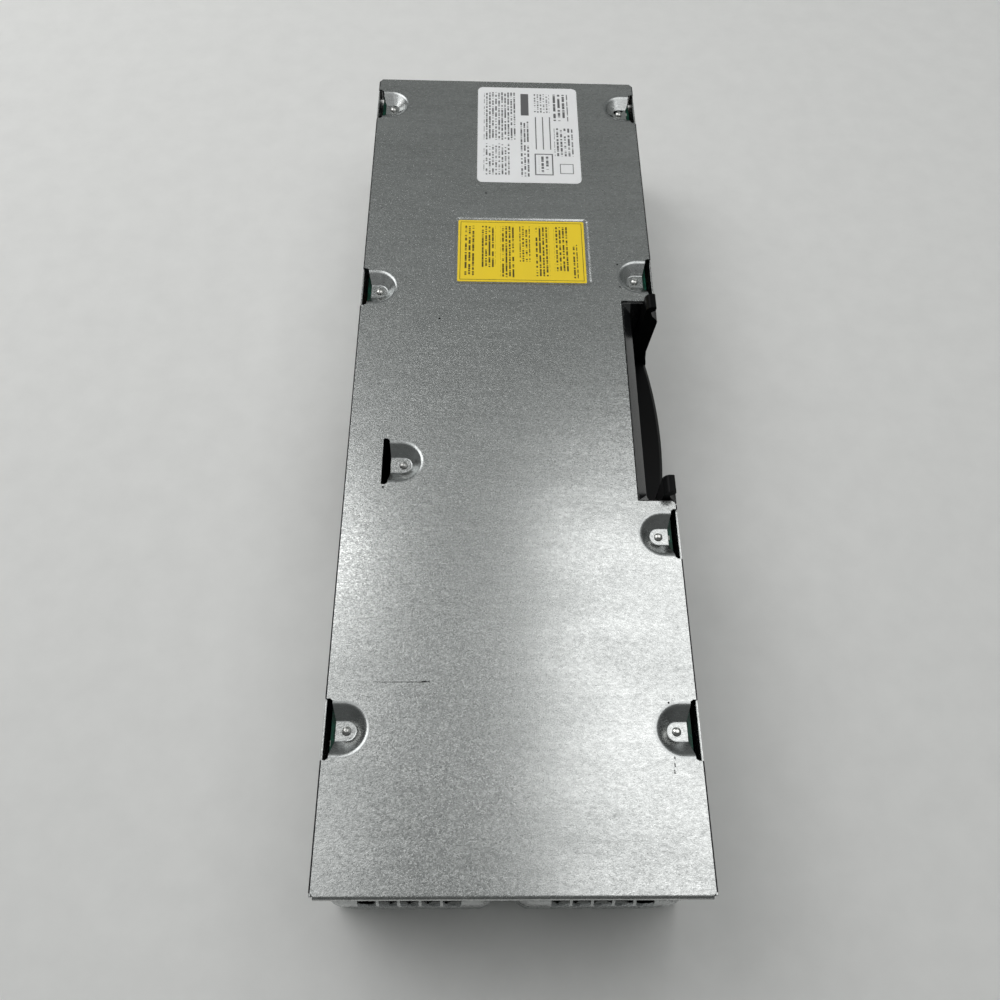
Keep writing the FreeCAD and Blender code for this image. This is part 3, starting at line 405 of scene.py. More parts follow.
def makeSteel(name, sheet, marks=None):
    finish, tree, shader, relief = newFinish(name, metallic=1.0, bump=sheet["relief"])
    values = {"Light": sheet["light"], "Dark": sheet["dark"], "Flakes": sheet["flakes"],
              "Gloss low": sheet["gloss"][0], "Gloss high": sheet["gloss"][1]}
    coat = useGroup(tree, spangle, values)
    colour = coat["Colour"]
    if marks:
        place = objectPlace(tree, scale=(1 / mm, 1 / mm, 0))
        masks = []
        for x, y, radius in marks["dots"]:
            gap = vectorMaths(tree, "DISTANCE", place, (x, y, 0), "Value")
            masks.append(maths(tree, "LESS_THAN", gap, radius))
        for x, y, halfX, halfY in marks["strokes"]:
            masks.append(boxMask(tree, place, x - halfX, x + halfX, y - halfY, y + halfY))
        patches = noise(tree, place, marks["patches"], 2.0, 0.6)
        broken = mapped(tree, patches, *marks["patchSpread"], marks["faint"], 1.0)
        scuffed = maths(tree, "MULTIPLY", joinMasks(tree, masks), broken)
        colour = mixed(tree, scuffed, colour, grey(marks["tone"]))
    feed(tree, shader, relief, colour, coat["Roughness"], coat["Height"])
    return finish


plainGloss = (0.42, 0.58)


def makePlain(name, colour, spread=0.12, gloss=plainGloss, scale=1500.0, bump=0.01, metallic=0.0, **plain):
    # moulded, coated or drawn stock whose tone wanders a little round one colour
    finish, tree, shader, relief = newFinish(name, metallic=metallic, bump=bump, **plain)
    light = [min(1.0, part * (1 + spread)) for part in colour] + [1.0]
    dark = [part * (1 - spread) for part in colour] + [1.0]
    values = {"Light": light, "Dark": dark, "Scale": scale, "Gloss low": gloss[0], "Gloss high": gloss[1]}
    skin = useGroup(tree, grain, values)
    feed(tree, shader, relief, skin["Colour"], skin["Roughness"], skin["Height"])
    return finish


wound = {"rise": 0.3, "shade": 0.45, "gloss": (0.25, 0.42)}   # rise is a share of the pitch


def makeWound(name, colour, pitch, metallic):
    finish, tree, shader, relief = newFinish(name, metallic=metallic, bump=wound["rise"] * pitch)
    # the dark colour is the painted shade of the grooves between turns
    light, dark = [*colour, 1.0], [part * wound["shade"] for part in colour] + [1.0]
    turns = useGroup(tree, wireTurns, {"Light": light, "Dark": dark, "Pitch": pitch})
    skin = useGroup(tree, grain, {"Gloss low": wound["gloss"][0], "Gloss high": wound["gloss"][1]})
    feed(tree, shader, relief, turns["Colour"], skin["Roughness"], turns["Height"])
    return finish


# mask and track greens are darkened with painted shade of the slots
board = {"mask": (0.0016, 0.033, 0.019, 1), "track": (0.0035, 0.06, 0.036, 1), "tin": (0.5, 0.5, 0.47, 1),
         "tracks": 240.0, "trackWidth": 0.1, "pads": 110.0, "padWidth": 0.12, "uneven": 0.7,
         "relief": 0.035, "gloss": (0.22, 0.32)}   # sizes are per metre, widths are shares of a cell


def makeBoard(name):
    # solder mask over copper: the tracks show as a lighter green, with square tinned pads; both greens are
    # darkened as painted shade of the slots the board lies in
    finish, tree, shader, relief = newFinish(name, bump=board["relief"], Specular_IOR_Level=0.2)
    cells = {"Vector": objectPlace(tree), "Scale": board["tracks"], "Randomness": board["uneven"]}
    edges = addNode(tree, "TexVoronoi", cells, feature="DISTANCE_TO_EDGE").outputs["Distance"]
    squares = {**cells, "Scale": board["pads"]}
    spots = addNode(tree, "TexVoronoi", squares, distance="CHEBYCHEV").outputs["Distance"]
    copper = maths(tree, "LESS_THAN", edges, board["trackWidth"])
    pad = maths(tree, "LESS_THAN", spots, board["padWidth"])
    smooth, dull = board["gloss"]
    values = {"Light": board["mask"], "Dark": board["mask"], "Gloss low": smooth, "Gloss high": dull}
    skin = useGroup(tree, grain, values)
    colour = mixed(tree, pad, mixed(tree, copper, skin["Colour"], board["track"]), board["tin"])
    feed(tree, shader, relief, colour, skin["Roughness"], maths(tree, "MAXIMUM", copper, pad))
    return finish


filmSkin = {"relief": 0.004, "shade": 0.96, "grain": 2400.0, "gloss": (0.38, 0.5)}


def makeSticker(name, film, ink, rows=(), fills=(), frames=()):
    # printed film: rows of plain bars, plain fields and ruled boxes
    finish, tree, shader, relief = newFinish(name, bump=filmSkin["relief"])
    smooth, dull = filmSkin["gloss"]
    tint = {"Light": [*film, 1.0], "Dark": [part * filmSkin["shade"] for part in film] + [1.0]}
    values = {**tint, "Scale": filmSkin["grain"], "Gloss low": smooth, "Gloss high": dull}
    skin = useGroup(tree, grain, values)
    place = objectPlace(tree, scale=(1 / mm, 1 / mm, 0))
    masks = [boxMask(tree, place, *field) for field in fills]
    for *field, pitch, bar, share in rows:
        lines = useGroup(tree, printRows, {"Place": place, "Row": pitch, "Bar": bar, "Fill": share})["Mask"]
        masks.append(maths(tree, "MULTIPLY", lines, boxMask(tree, place, *field)))
    for left, right, low, high, line in frames:
        inner = boxMask(tree, place, left + line, right - line, low + line, high - line)
        masks.append(maths(tree, "SUBTRACT", boxMask(tree, place, left, right, low, high), inner))
    printed = maths(tree, "MULTIPLY", joinMasks(tree, masks), ink[1])
    colour = mixed(tree, printed, skin["Colour"], [*ink[0], 1.0])
    feed(tree, shader, relief, colour, skin["Roughness"], skin["Height"])
    return finish


metals = {"brushed_steel": (0.18, 0.3), "brass": (0.28, 0.42), "aluminium": (0.35, 0.5),
          "cast_iron": (0.55, 0.7)}
finishes = {}
for entry in frame["record"]["materials"]:
    gloss = metals.get(entry["class"], plainGloss)
    finishes[entry["slot"]] = makePlain(entry["slot"], entry["base_color"][:3], gloss=gloss,
                                        metallic=float(entry["class"] in metals))
finishes["galvanised_steel"] = makeSteel("galvanised_steel", steel)
finishes["plate_steel"] = makeSteel("plate_steel", steel, plateMarks)
finishes["drawn_shaded_steel"] = makeSteel("drawn_shaded_steel", drawnShadedSteel)
# the sheared edge is bare steel painted near black: painted shade of the gap along the cover
finishes["shaded_sheared_edge"] = makePlain("shaded_sheared_edge", (0.042, 0.041, 0.046), spread=0.3, gloss=(0.4, 0.55),
                                     scale=900.0, metallic=1.0)
# black plastic darkened below its own tone: painted shade of the pocket the handle lies in
finishes["handle_plastic"] = makePlain("handle_plastic", (0.0024, 0.0025, 0.0028), gloss=(0.3, 0.4),
                                       bump=0.004, Specular_IOR_Level=0.12)
finishes["liner_plastic"] = makePlain("liner_plastic", (0.008, 0.0085, 0.009), gloss=(0.16, 0.24), bump=0.003,
                                      IOR=1.85, Coat_Weight=0.9, Coat_Roughness=0.2)
finishes["board_green"] = makeBoard("board_green")
finishes["copper_winding"] = makeWound("copper_winding", (0.6, 0.27, 0.12), pitch=0.9, metallic=1.0)
finishes["winding_tape"] = makeWound("winding_tape", (0.75, 0.58, 0.16), pitch=3.0, metallic=0.0)
finishes["light_pipe"] = makePlain("light_pipe", (0.75, 0.82, 0.76), spread=0.05, gloss=(0.08, 0.14),
                                   bump=0.002)

# rows are left, right, low, high, pitch, bar and fill
# fills and frames have the same four sides, and a frame ends with the width of its line
whitePrint = {
    "film": (0.93, 0.935, 0.94), "ink": ((0.025, 0.025, 0.028), 0.88),
    "rows": [(-13.0, 5.5, 168.0, 207.0, 1.75, 1.6, 0.53), (-13.0, 1.5, 141.0, 165.0, 1.75, 1.6, 0.5),
             (7.5, 13.0, 140.0, 183.0, 1.8, 1.7, 0.52), (15.0, 24.5, 190.5, 206.0, 1.7, 1.4, 0.5),
             (26.5, 37.0, 156.0, 178.0, 2.1, 1.9, 0.52), (26.5, 35.0, 184.0, 206.0, 2.6, 2.4, 0.55),
             (17.5, 23.0, 143.5, 155.5, 2.6, 1.9, 0.55)],
    "fills": [(8.0, 12.5, 188.0, 206.0), (16.0, 16.6, 161.0, 187.0), (20.0, 20.6, 161.0, 187.0),
              (24.0, 24.6, 161.0, 187.0)],
    "frames": [(15.2, 25.4, 141.2, 157.6, 0.7), (29.0, 36.5, 142.5, 150.0, 0.45)],
}
yellowPrint = {
    "film": (0.98, 0.715, 0.028), "ink": ((0.03, 0.022, 0.008), 0.93),
    "rows": [(-23.0, -17.5, 70.5, 104.0, 1.9, 1.7, 0.53), (-14.0, -6.5, 76.0, 104.0, 1.75, 1.5, 0.53),
             (-4.0, 3.5, 69.5, 104.0, 1.75, 1.5, 0.53), (6.0, 11.5, 80.0, 104.0, 1.75, 1.5, 0.53),
             (14.0, 21.5, 70.5, 104.0, 1.75, 1.5, 0.53), (24.0, 31.5, 74.0, 104.0, 1.75, 1.5, 0.53),
             (33.5, 36.0, 69.5, 92.0, 1.75, 1.5, 0.53)],
    "frames": [(-24.8, 38.8, 67.6, 106.7, 0.3)],
}
finishes["white_label"] = makeSticker("white_label", **whitePrint)
finishes["yellow_label"] = makeSticker("yellow_label", **yellowPrint)
slotOf = {entry["node"]: entry["material_slot"] for entry in frame["record"]["subparts"]}
for nodeName, node in frame["nodes"].items():
    node.data.materials.clear()
    node.data.materials.append(finishes[slotOf[nodeName]])
print("finishes:", len(finishes))


# Folded base: plate with drawn dimples, label recess, handle notch and bent ends

base = {"sheet": 1.0, "bend": 1.6, "bendSteps": 8, "edgeRound": 0.12, "overhang": 0.1, "shear": (0.7, 0.6),
        "lip": 1.3, "relief": 0.9, "band": 0.4, "levelNormal": 0.99, "sharp": 18, "wallRound": 0.15,
        "wallAngle": 50}
dimple = {"rim": 11.0, "shoulder": 9.8, "shoulderRound": 3.2, "foot": 3.9, "footRound": 1.0, "flat": 3.4,
          "depth": 4.2, "shift": 1.4, "reach": 5.7, "innerReach": 6.4, "setBack": 1.4, "innerSetBack": 0.6,
          "slotWidth": 2.9, "slotHalf": 11.8, "slotRound": 0.6, "taper": 0.45, "hole": 1.85, "steps": 32,
          "roundSteps": 4}
recess = {"margin": 0.7, "spare": 0.8, "depth": 0.4, "ramp": 0.9, "round": 2.2, "roundSteps": 6}
notch = {"depth": 16.5, "linerEnd": 3.0, "rimGap": 0.4, "rimFlat": 0.5, "round": 0.5, "clip": 1.6,
         "lead": 3.0, "rimLean": 0.17, "roundSteps": 4}
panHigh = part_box("base_pan")[1]
plateTop = panHigh.z
sideX = panHigh.x + base["overhang"] * mm   # from here the sheared edge rolls down over the cover's edge
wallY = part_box("cover")[1].y
screwBoxes = islandBoxes("board_screws")
dimplePlaces = [(low + high) / 2 for low, high in screwBoxes]
shadedEdgeSlot, drawnShadedSlot = 1, 2   # places of the plate's further finishes: the sheared edge, near black as painted shade, and the drawn steel, darker as painted shade
shadedDishSlot = 1   # place of the end walls' further finish, the dishes' drawn steel, darker as painted shade


def isInner(place):
    return abs(place.x) + (dimple["innerReach"] + dimple["slotWidth"] + dimple["slotHalf"] / 2) * mm < sideX


def slotPlace(place):
    # where the slot cuts the dimple off, at the plate's level
    reach = dimple["innerReach"] if isInner(place) else dimple["reach"]
    return place.x + math.copysign(reach * mm, place.x)


def pressDimple(bm, place):
    # spins the drawn wall half round and runs it out to the slot; gives back the rim's ends and edges
    side = 1 if place.x > 0 else -1
    centre = Vector((place.x + side * dimple["shift"] * mm, place.y, plateTop))
    corners = [(dimple["rim"], 0), (dimple["shoulder"], 0), (dimple["foot"], -dimple["depth"]),
               (dimple["flat"], -dimple["depth"])]
    profile = rounded(corners, (0, dimple["shoulderRound"], dimple["footRound"], 0), dimple["roundSteps"])
    first = [bm.verts.new(centre + Vector((0, -point.x, point.y)) * mm) for point in profile]
    edges = chain(bm, first)
    made = bmesh.ops.spin(bm, geom=first + edges, cent=centre, axis=up, dvec=(0, 0, 0), angle=-side * math.pi,
                          steps=dimple["steps"], use_merge=False, use_duplicate=False)
    last = [part for part in made["geom_last"] if isinstance(part, bmesh.types.BMEdge)]

    def near(vert):
        return (vert.co - centre).length < 2 * dimple["rim"] * mm

    def drop(vert):
        return (plateTop - vert.co.z) / (dimple["depth"] * mm)

    for vert in filter(near, bm.verts):
        vert.co.x -= side * drop(vert) * dimple["shift"] * mm   # the floor lies round the screw
    setBack = dimple["innerSetBack" if isInner(place) else "setBack"] * mm
    ends = []
    for stretch in (edges, last):
        run = bmesh.ops.extrude_edge_only(bm, edges=stretch)["geom"]
        moved = [part for part in run if isinstance(part, bmesh.types.BMVert)]
        for vert in moved:
            vert.co.x = slotPlace(place) - side * drop(vert) * setBack
        ends.append(sorted(moved, key=lambda vert: abs(vert.co.y - place.y)))
    # the dimples take the drawn steel, whose darker tone is painted shade
    for vert in filter(near, bm.verts):
        for face in vert.link_faces:
            face.material_index = drawnShadedSlot
    floor = plateTop - dimple["depth"] * mm
    nearby = [edge for edge in bm.edges if edge.is_boundary and near(edge.verts[0])]

    def level(height):
        return [edge for edge in nearby if all(abs(vert.co.z - height) < hair for vert in edge.verts)]

    footEdges = level(floor) + chain(bm, [ends[0][0], ends[1][0]])
    hole = ring(bm, dimple["hole"] * mm, Vector((place.x, place.y, floor)))
    bmesh.ops.triangle_fill(bm, use_beauty=True, use_dissolve=False, edges=footEdges + hole)
    return ends[0][-1], ends[1][-1], level(plateTop)


def pressRecess(bm):
    # shallow tray of the lower sticker; gives back the edges of its rim
    low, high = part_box("yellow_label")
    middle = (low + high) / 2 + Vector((recess["spare"] / 2 * mm, 0, 0))
    width = high.x - low.x + (2 * recess["margin"] + recess["spare"]) * mm
    height = high.y - low.y + 2 * recess["margin"] * mm
    floor = plateTop - recess["depth"] * mm
    halfX, halfY = width / 2, height / 2
    corners = [(-halfX, -halfY), (halfX, -halfY), (halfX, halfY), (-halfX, halfY)]
    path = rounded(corners, [recess["round"] * mm] * 4, recess["roundSteps"], closed=True)
    verts = [bm.verts.new((middle.x + point.x, middle.y + point.y, floor)) for point in path]
    tray = bm.faces.new(verts)
    run = bmesh.ops.extrude_edge_only(bm, edges=tray.edges)["geom"]
    rim = [part for part in run if isinstance(part, bmesh.types.BMVert)]
    bmesh.ops.translate(bm, verts=rim, vec=(0, 0, recess["depth"] * mm))
    grow = Matrix.Diagonal((1 + recess["ramp"] * mm / halfX, 1 + recess["ramp"] * mm / halfY, 1, 1))
    bmesh.ops.transform(bm, matrix=grow, space=Matrix.Translation(-middle), verts=rim)
    return [part for part in run if isinstance(part, bmesh.types.BMEdge)
            and all(vert in rim for vert in part.verts)]


def plateSkin():
    bm = bmesh.new()
    edges = pressRecess(bm)
    linerLow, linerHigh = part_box("handle_liner")
    handleLow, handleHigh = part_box("pull_handle")
    handleY = (handleLow.y + handleHigh.y) / 2
    halfSlot = dimple["slotHalf"] * mm
    rounding = dimple["slotRound"] * mm

    def lay(path):
        return [bm.verts.new((point.x, point.y, plateTop)) for point in path]

    def sideCut(place, low, high):
        # an edge slot's two ends, from the plate's edge in to the dimple
        outer = math.copysign(sideX, place.x)
        narrow = low.co.x + (outer - low.co.x) * dimple["taper"]
        pieces = []
        for end, direction in ((low, -1), (high, 1)):
            y = place.y + direction * halfSlot
            corners = [(outer, y), (narrow, y), (end.co.x, end.co.y)]
            path = rounded(corners, (0, rounding, 0), dimple["roundSteps"])
            pieces.append(lay(path[:-1]) + [end])
        return pieces[0], pieces[1][::-1]

    sides = {1: [], -1: []}
    for place in dimplePlaces:
        low, high, rim = pressDimple(bm, place)
        edges += rim
        side = 1 if place.x > 0 else -1
        if isInner(place):
            # the slot that lies inside the plate is a closed hole
            inner = low.co.x
            outer = inner + side * dimple["slotWidth"] * mm
            narrow = inner + (outer - inner) * dimple["taper"]
            corners = [(inner, low.co.y), (narrow, place.y - halfSlot), (outer, place.y - halfSlot),
                       (outer, place.y + halfSlot), (narrow, place.y + halfSlot), (inner, high.co.y)]
            path = rounded(corners, (0, *[rounding] * 4, 0), dimple["roundSteps"])
            edges += chain(bm, [low] + lay(path[1:-1]) + [high])
        else:
            sides[side].append((place.y, *sideCut(place, low, high)))
    notchX = panHigh.x - notch["depth"] * mm
    halfNotch = (linerHigh.y - linerLow.y) / 2 - (notch["linerEnd"] - notch["rimGap"] - notch["rimFlat"]) * mm
    low, high, lead = handleY - halfNotch, handleY + halfNotch, notch["lead"] * mm
    corners = [(sideX, low - lead), (sideX, low), (notchX, low),
               (notchX, high), (sideX, high), (sideX, high + lead)]
    clip, inside = notch["clip"] * mm, notch["round"] * mm
    path = rounded(corners, (0, clip, inside, inside, clip, 0), notch["roundSteps"])
    sides[1].append((handleY, lay(path[1:-1]), None))
    endY = wallY + (base["lip"] - base["bend"]) * mm   # each end stands over its wall as a lip
    relief = base["relief"] * mm
    corner = {(side, end): lay([Vector((side * (sideX - relief), end * endY))])[0]
              for side in (-1, 1) for end in (-1, 1)}
    for side in (-1, 1):
        clipped = lay([Vector((side * sideX, end * (endY - relief))) for end in (-1, 1)])
        last = clipped[0]
        edges += chain(bm, [corner[side, -1], last])
        for _, first, second in sorted(sides[side], key=lambda cut: cut[0]):
            edges += chain(bm, [last] + first)
            last = first[-1]
            if second:
                edges += chain(bm, second)
                last = second[-1]
        edges += chain(bm, [last, clipped[1], corner[side, 1]])
    ends = [chain(bm, [corner[-1, end], corner[1, end]])[0] for end in (-1, 1)]
    bmesh.ops.triangle_fill(bm, use_beauty=True, use_dissolve=False, edges=edges + ends)
    for edge, direction in zip(ends, (-1, 1)):
        centre = Vector((0, direction * endY, plateTop - base["bend"] * mm))
        bmesh.ops.spin(bm, geom=[edge, *edge.verts], cent=centre, axis=(1, 0, 0), dvec=(0, 0, 0),
                       angle=-direction * math.pi / 2, steps=base["bendSteps"], use_merge=False,
                       use_duplicate=False)
    # the long sides roll down in a strip that takes the near-black edge finish, painted shade of the gap by
    # the cover
    sheared = [edge for edge in bm.edges if edge.is_boundary and abs(edge.verts[0].co.z - plateTop) < hair
               and all(abs(abs(vert.co.x) - sideX) < hair for vert in edge.verts)]
    strip = bmesh.ops.extrude_edge_only(bm, edges=sheared)["geom"]
    across, down = base["shear"]
    for part in strip:
        if isinstance(part, bmesh.types.BMVert):
            part.co += Vector((math.copysign(across, part.co.x), 0, -down)) * mm
        elif isinstance(part, bmesh.types.BMFace):
            part.material_index = shadedEdgeSlot
    tidy(bm)
    facing = [face for face in bm.faces if abs(face.normal.z) > base["levelNormal"]]
    if sum(face.normal.z * face.calc_area() for face in facing) < 0:
        bmesh.ops.reverse_faces(bm, faces=bm.faces)

    def isLevel(part):
        return all(abs(vert.co.z - plateTop) < hair for vert in part.verts)

    # slivers of the fill would spoil the rounded edges, so the flats are made whole and get a band round them
    level = list(filter(isLevel, bm.edges))
    bmesh.ops.dissolve_limit(bm, angle_limit=flatTurn, verts=[], edges=level, delimit={"MATERIAL"})
    flats = [face for face in bm.faces if face.material_index == 0 and isLevel(face)]
    bmesh.ops.inset_region(bm, faces=flats, use_boundary=True, use_even_offset=True,
                           thickness=base["band"] * mm)
    return bm


basePlate = addPiece("base_plate", plateSkin(), finishes["plate_steel"],
                     replaced=["base_pan"], sharpAngle=base["sharp"])
# the sheared edge's near-black finish is painted shade
basePlate.data.materials.append(finishes["shaded_sheared_edge"])
# the drawn steel's darker tone is painted shade
basePlate.data.materials.append(finishes["drawn_shaded_steel"])
thicken(basePlate, base["sheet"], base["sharp"])
roundEdges(basePlate, base["edgeRound"])
print("plate faces:", len(basePlate.data.polygons))


def endWalls():
    # the folded ends below their bends, as the solid has them
    bm = cadCopy("base_pan")
    cut = plateTop - base["sheet"] * mm - 10 * hair
    bmesh.ops.bisect_plane(bm, geom=bm.verts[:] + bm.edges[:] + bm.faces[:], dist=hair,
                           plane_co=(0, 0, cut), plane_no=up, clear_outer=True, clear_inner=False)
    innerY = wallY - 2 * dimple["slotHalf"] * mm
    inside = [vert for vert in bm.verts if abs(vert.co.y) < innerY]
    bmesh.ops.delete(bm, geom=inside, context="VERTS")
    # the dishes standing out in front of the wall take the drawn steel, whose darker tone is painted shade
    for face in bm.faces:
        if face.calc_center_median().y < hair - wallY:
            face.material_index = shadedDishSlot if any(vert.co.y < -wallY - hair for vert in face.verts) else 0
    return bm


walls = addPiece("end_walls", endWalls(), finishes["galvanised_steel"],
                 replaced=["base_pan"])
# the dishes' drawn steel is darker as painted shade
walls.data.materials.append(finishes["drawn_shaded_steel"])
roundEdges(walls, base["wallRound"], angle=base["wallAngle"])
print("end wall faces:", len(walls.data.polygons))


# Cover, handle, pocket, inlet, plug and fans, from the solids with their edges rounded

edged = {
    "cover": ("cover_sheet", 0.3), "handle_liner": ("pocket_liner", 0.15),
    "pull_handle": ("swing_handle", 0.5),
    "inlet_body": ("inlet_moulding", 0.4), "inlet_pins": ("inlet_blades", 0.3),
    "output_housing": ("plug_moulding", 0.3), "output_contacts": ("plug_blades", 0.2),
    "fan_frame_left": ("fan_surround_left", 0.4), "fan_frame_right": ("fan_surround_right", 0.4),
    "fan_rotor_left": ("fan_wheel_left", 0.3), "fan_rotor_right": ("fan_wheel_right", 0.3),
}
grip = {"height": 8.0, "arm": 8.4, "fillet": 4.0, "steps": 6}


def filletGrip(bm):
    # rounds the corners where the grip runs into the arms
    low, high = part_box("pull_handle")
    top = low.z + grip["height"] * mm
    inner = (low.y + grip["arm"] * mm, high.y - grip["arm"] * mm)
    corners = [edge for edge in bm.edges if all(abs(vert.co.z - top) < hair for vert in edge.verts)
               and any(all(abs(vert.co.y - y) < hair for vert in edge.verts) for y in inner)]
    print("grip corners:", len(corners))
    bmesh.ops.bevel(bm, geom=corners, offset=grip["fillet"] * mm, offset_type="OFFSET",
                    segments=grip["steps"], profile=0.5, affect="EDGES", material=-1)


def tiltRim(bm):
    # the rim's flat leans inwards at both ends of the pocket
    low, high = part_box("handle_liner")
    inner = (low.y + notch["linerEnd"] * mm, high.y - notch["linerEnd"] * mm)
    leaning = [vert for vert in bm.verts if abs(vert.co.z - high.z) < hair
               and min(abs(vert.co.y - y) for y in inner) < hair]
    for vert in leaning:
        vert.co.z -= notch["rimLean"] * mm
    print("rim corners:", len(leaning))


bodyOf = {node: body for body, nodes in frame["record"]["behaviour"]["bodies"].items() for node in nodes}
for nodeName, (pieceName, width) in edged.items():
    slotName = slotOf[nodeName]
    shape = cadCopy(nodeName)
    if nodeName == "pull_handle":
        filletGrip(shape)
    elif nodeName == "handle_liner":
        tiltRim(shape)
    piece = addPiece(pieceName, shape, finishes[slotName], bodyOf[nodeName], [nodeName])
    roundEdges(piece, width, segments=3)
print("edged pieces:", len(edged))


# Stickers: thin film with round corners

stickers = {"rating_label": ("white_sticker", 3.0), "yellow_label": ("yellow_sticker", 0.8)}
filmEdge = {"round": 0.04, "cornerSteps": 6}


def filmShape(node, cornerRound):
    low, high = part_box(node)
    corners = [(low.x, low.y), (high.x, low.y), (high.x, high.y), (low.x, high.y)]
    bm = bmesh.new()
    path = rounded(corners, [cornerRound * mm] * 4, filmEdge["cornerSteps"], closed=True)
    sheet = bm.faces.new([bm.verts.new((point.x, point.y, low.z)) for point in path])
    made = bmesh.ops.extrude_face_region(bm, geom=[sheet])["geom"]
    raised = [part for part in made if isinstance(part, bmesh.types.BMVert)]
    bmesh.ops.translate(bm, verts=raised, vec=(0, 0, high.z - low.z))
    tidy(bm)
    return bm


for nodeName, (pieceName, cornerRound) in stickers.items():
    slotName = slotOf[nodeName]
    film = filmShape(nodeName, cornerRound)
    piece = addPiece(pieceName, film, finishes[slotName], replaced=[nodeName])
    roundEdges(piece, filmEdge["round"])
print("stickers:", len(stickers))


# Screws: heads with a cross recess, cut threads and rounded tips, and the round end of the light pipe

screwForms = {
    "board_screws": {"piece": "standoff_screws", "head": 3.3, "rise": 2.2, "shank": 1.72, "sunk": False,
                     "axis": (0, 0, -1), "cross": (1.9, 0.45, 1.2), "pitch": 0.7},
    "cover_screws": {"piece": "case_screws", "head": 2.4, "rise": 0.8, "shank": 1.45, "sunk": True,
                     "axis": (1, 0, 0), "cross": (1.35, 0.3, 0.9), "pitch": 0.5},
    "fan_screws": {"piece": "fan_fixings", "head": 2.8, "rise": 1.0, "shank": 1.7, "sunk": True,
                   "axis": (0, -1, 0), "cross": (1.6, 0.36, 1.1), "pitch": 1.1},
}
screwCut = {"soft": 0.12, "mouth": 0.15, "taper": 0.6, "thread": 0.22, "crownSteps": 4,
            "tipStart": 0.9, "tipNeck": (0.15, 0.5), "tipFlat": 0.7, "tipRounds": (0.6, 0.9), "tipSteps": 5,
            "steps": 24, "sharp": 30}
lightEnd = {"chamfer": 0.25, "dome": 0.6, "domeSteps": 6, "steps": 32}


def screwShape(form, length):
    # one screw along Z with its head's face at 0 and its tip below
    bm = bmesh.new()
    head, rise, shank, pitch = form["head"], form["rise"], form["shank"], form["pitch"]
    reach, arm, deep = form["cross"]
    soft = screwCut["soft"] * head
    mouth = reach + screwCut["mouth"]
    if form["sunk"]:
        profile = [(mouth, 0), (head - soft / 2, 0), (head, -soft / 2), (shank, -rise)]
    else:
        crown = rounded([(mouth, 0), (head, -soft), (head, -rise)], (0, 2 * soft, 0),
                        screwCut["crownSteps"])
        profile = [tuple(point) for point in crown] + [(shank, -rise)]
    height, tipStart = -rise - pitch, -length + screwCut["tipStart"]
    while height > tipStart:
        profile += [(shank, height), (shank - screwCut["thread"] * pitch, height - pitch / 2)]
        height -= pitch
    neckIn, neckUp = screwCut["tipNeck"]
    corners = [(shank, tipStart), (shank - neckIn, -length + neckUp),
               (screwCut["tipFlat"], -length), (0, -length)]
    tip = rounded(corners, (0, *screwCut["tipRounds"], 0), screwCut["tipSteps"])
    profile += [tuple(point) for point in tip]
    turnedSolid(bm, profile, Vector((0, 0, 0)), up, screwCut["steps"])
    bmesh.ops.remove_doubles(bm, verts=bm.verts, dist=hair)
    rim = [edge for edge in bm.edges if edge.is_boundary]
    quarter = [(reach, -arm), (reach, arm), (arm, arm)]
    cross = []
    for turn in range(4):
        spun = Matrix.Rotation(turn * math.pi / 2, 2)
        cross += [spun @ Vector(corner) for corner in quarter]
    verts = [bm.verts.new((point.x * mm, point.y * mm, 0)) for point in cross]
    edges = chain(bm, verts, closed=True)
    bmesh.ops.triangle_fill(bm, use_beauty=True, use_dissolve=False, edges=rim + edges)
    walls = bmesh.ops.extrude_edge_only(bm, edges=edges)["geom"]
    foot = [part for part in walls if isinstance(part, bmesh.types.BMVert)]
    bmesh.ops.scale(bm, vec=(screwCut["taper"], screwCut["taper"], 1), verts=foot)
    bmesh.ops.translate(bm, verts=foot, vec=(0, 0, -deep * mm))
    bmesh.ops.contextual_create(bm, geom=[part for part in walls if isinstance(part, bmesh.types.BMEdge)
                                          and all(vert in foot for vert in part.verts)])
    tidy(bm)
    seed = bpy.data.meshes.new(form["piece"] + "_seed")
    bm.to_mesh(seed)
    bm.free()
    return seed


for nodeName, form in screwForms.items():
    axis = Vector(form["axis"])
    bm = bmesh.new()
    for low, high in islandBoxes(nodeName):
        middle, half = (low + high) / 2, (high - low) / 2
        outward = axis * math.copysign(1, middle.x) if form["axis"][0] else axis
        along = abs(half.dot(outward))
        seed = screwShape(form, 2 * along / mm)
        before = len(bm.verts)
        bm.from_mesh(seed)
        bpy.data.meshes.remove(seed)
        bm.verts.ensure_lookup_table()
        turned = up.rotation_difference(outward).to_matrix().to_4x4()
        seated = Matrix.Translation(middle + outward * along) @ turned
        bmesh.ops.transform(bm, matrix=seated, verts=bm.verts[before:])
    slotName = slotOf[nodeName]
    addPiece(form["piece"], bm, finishes[slotName], replaced=[nodeName],
             sharpAngle=screwCut["sharp"])

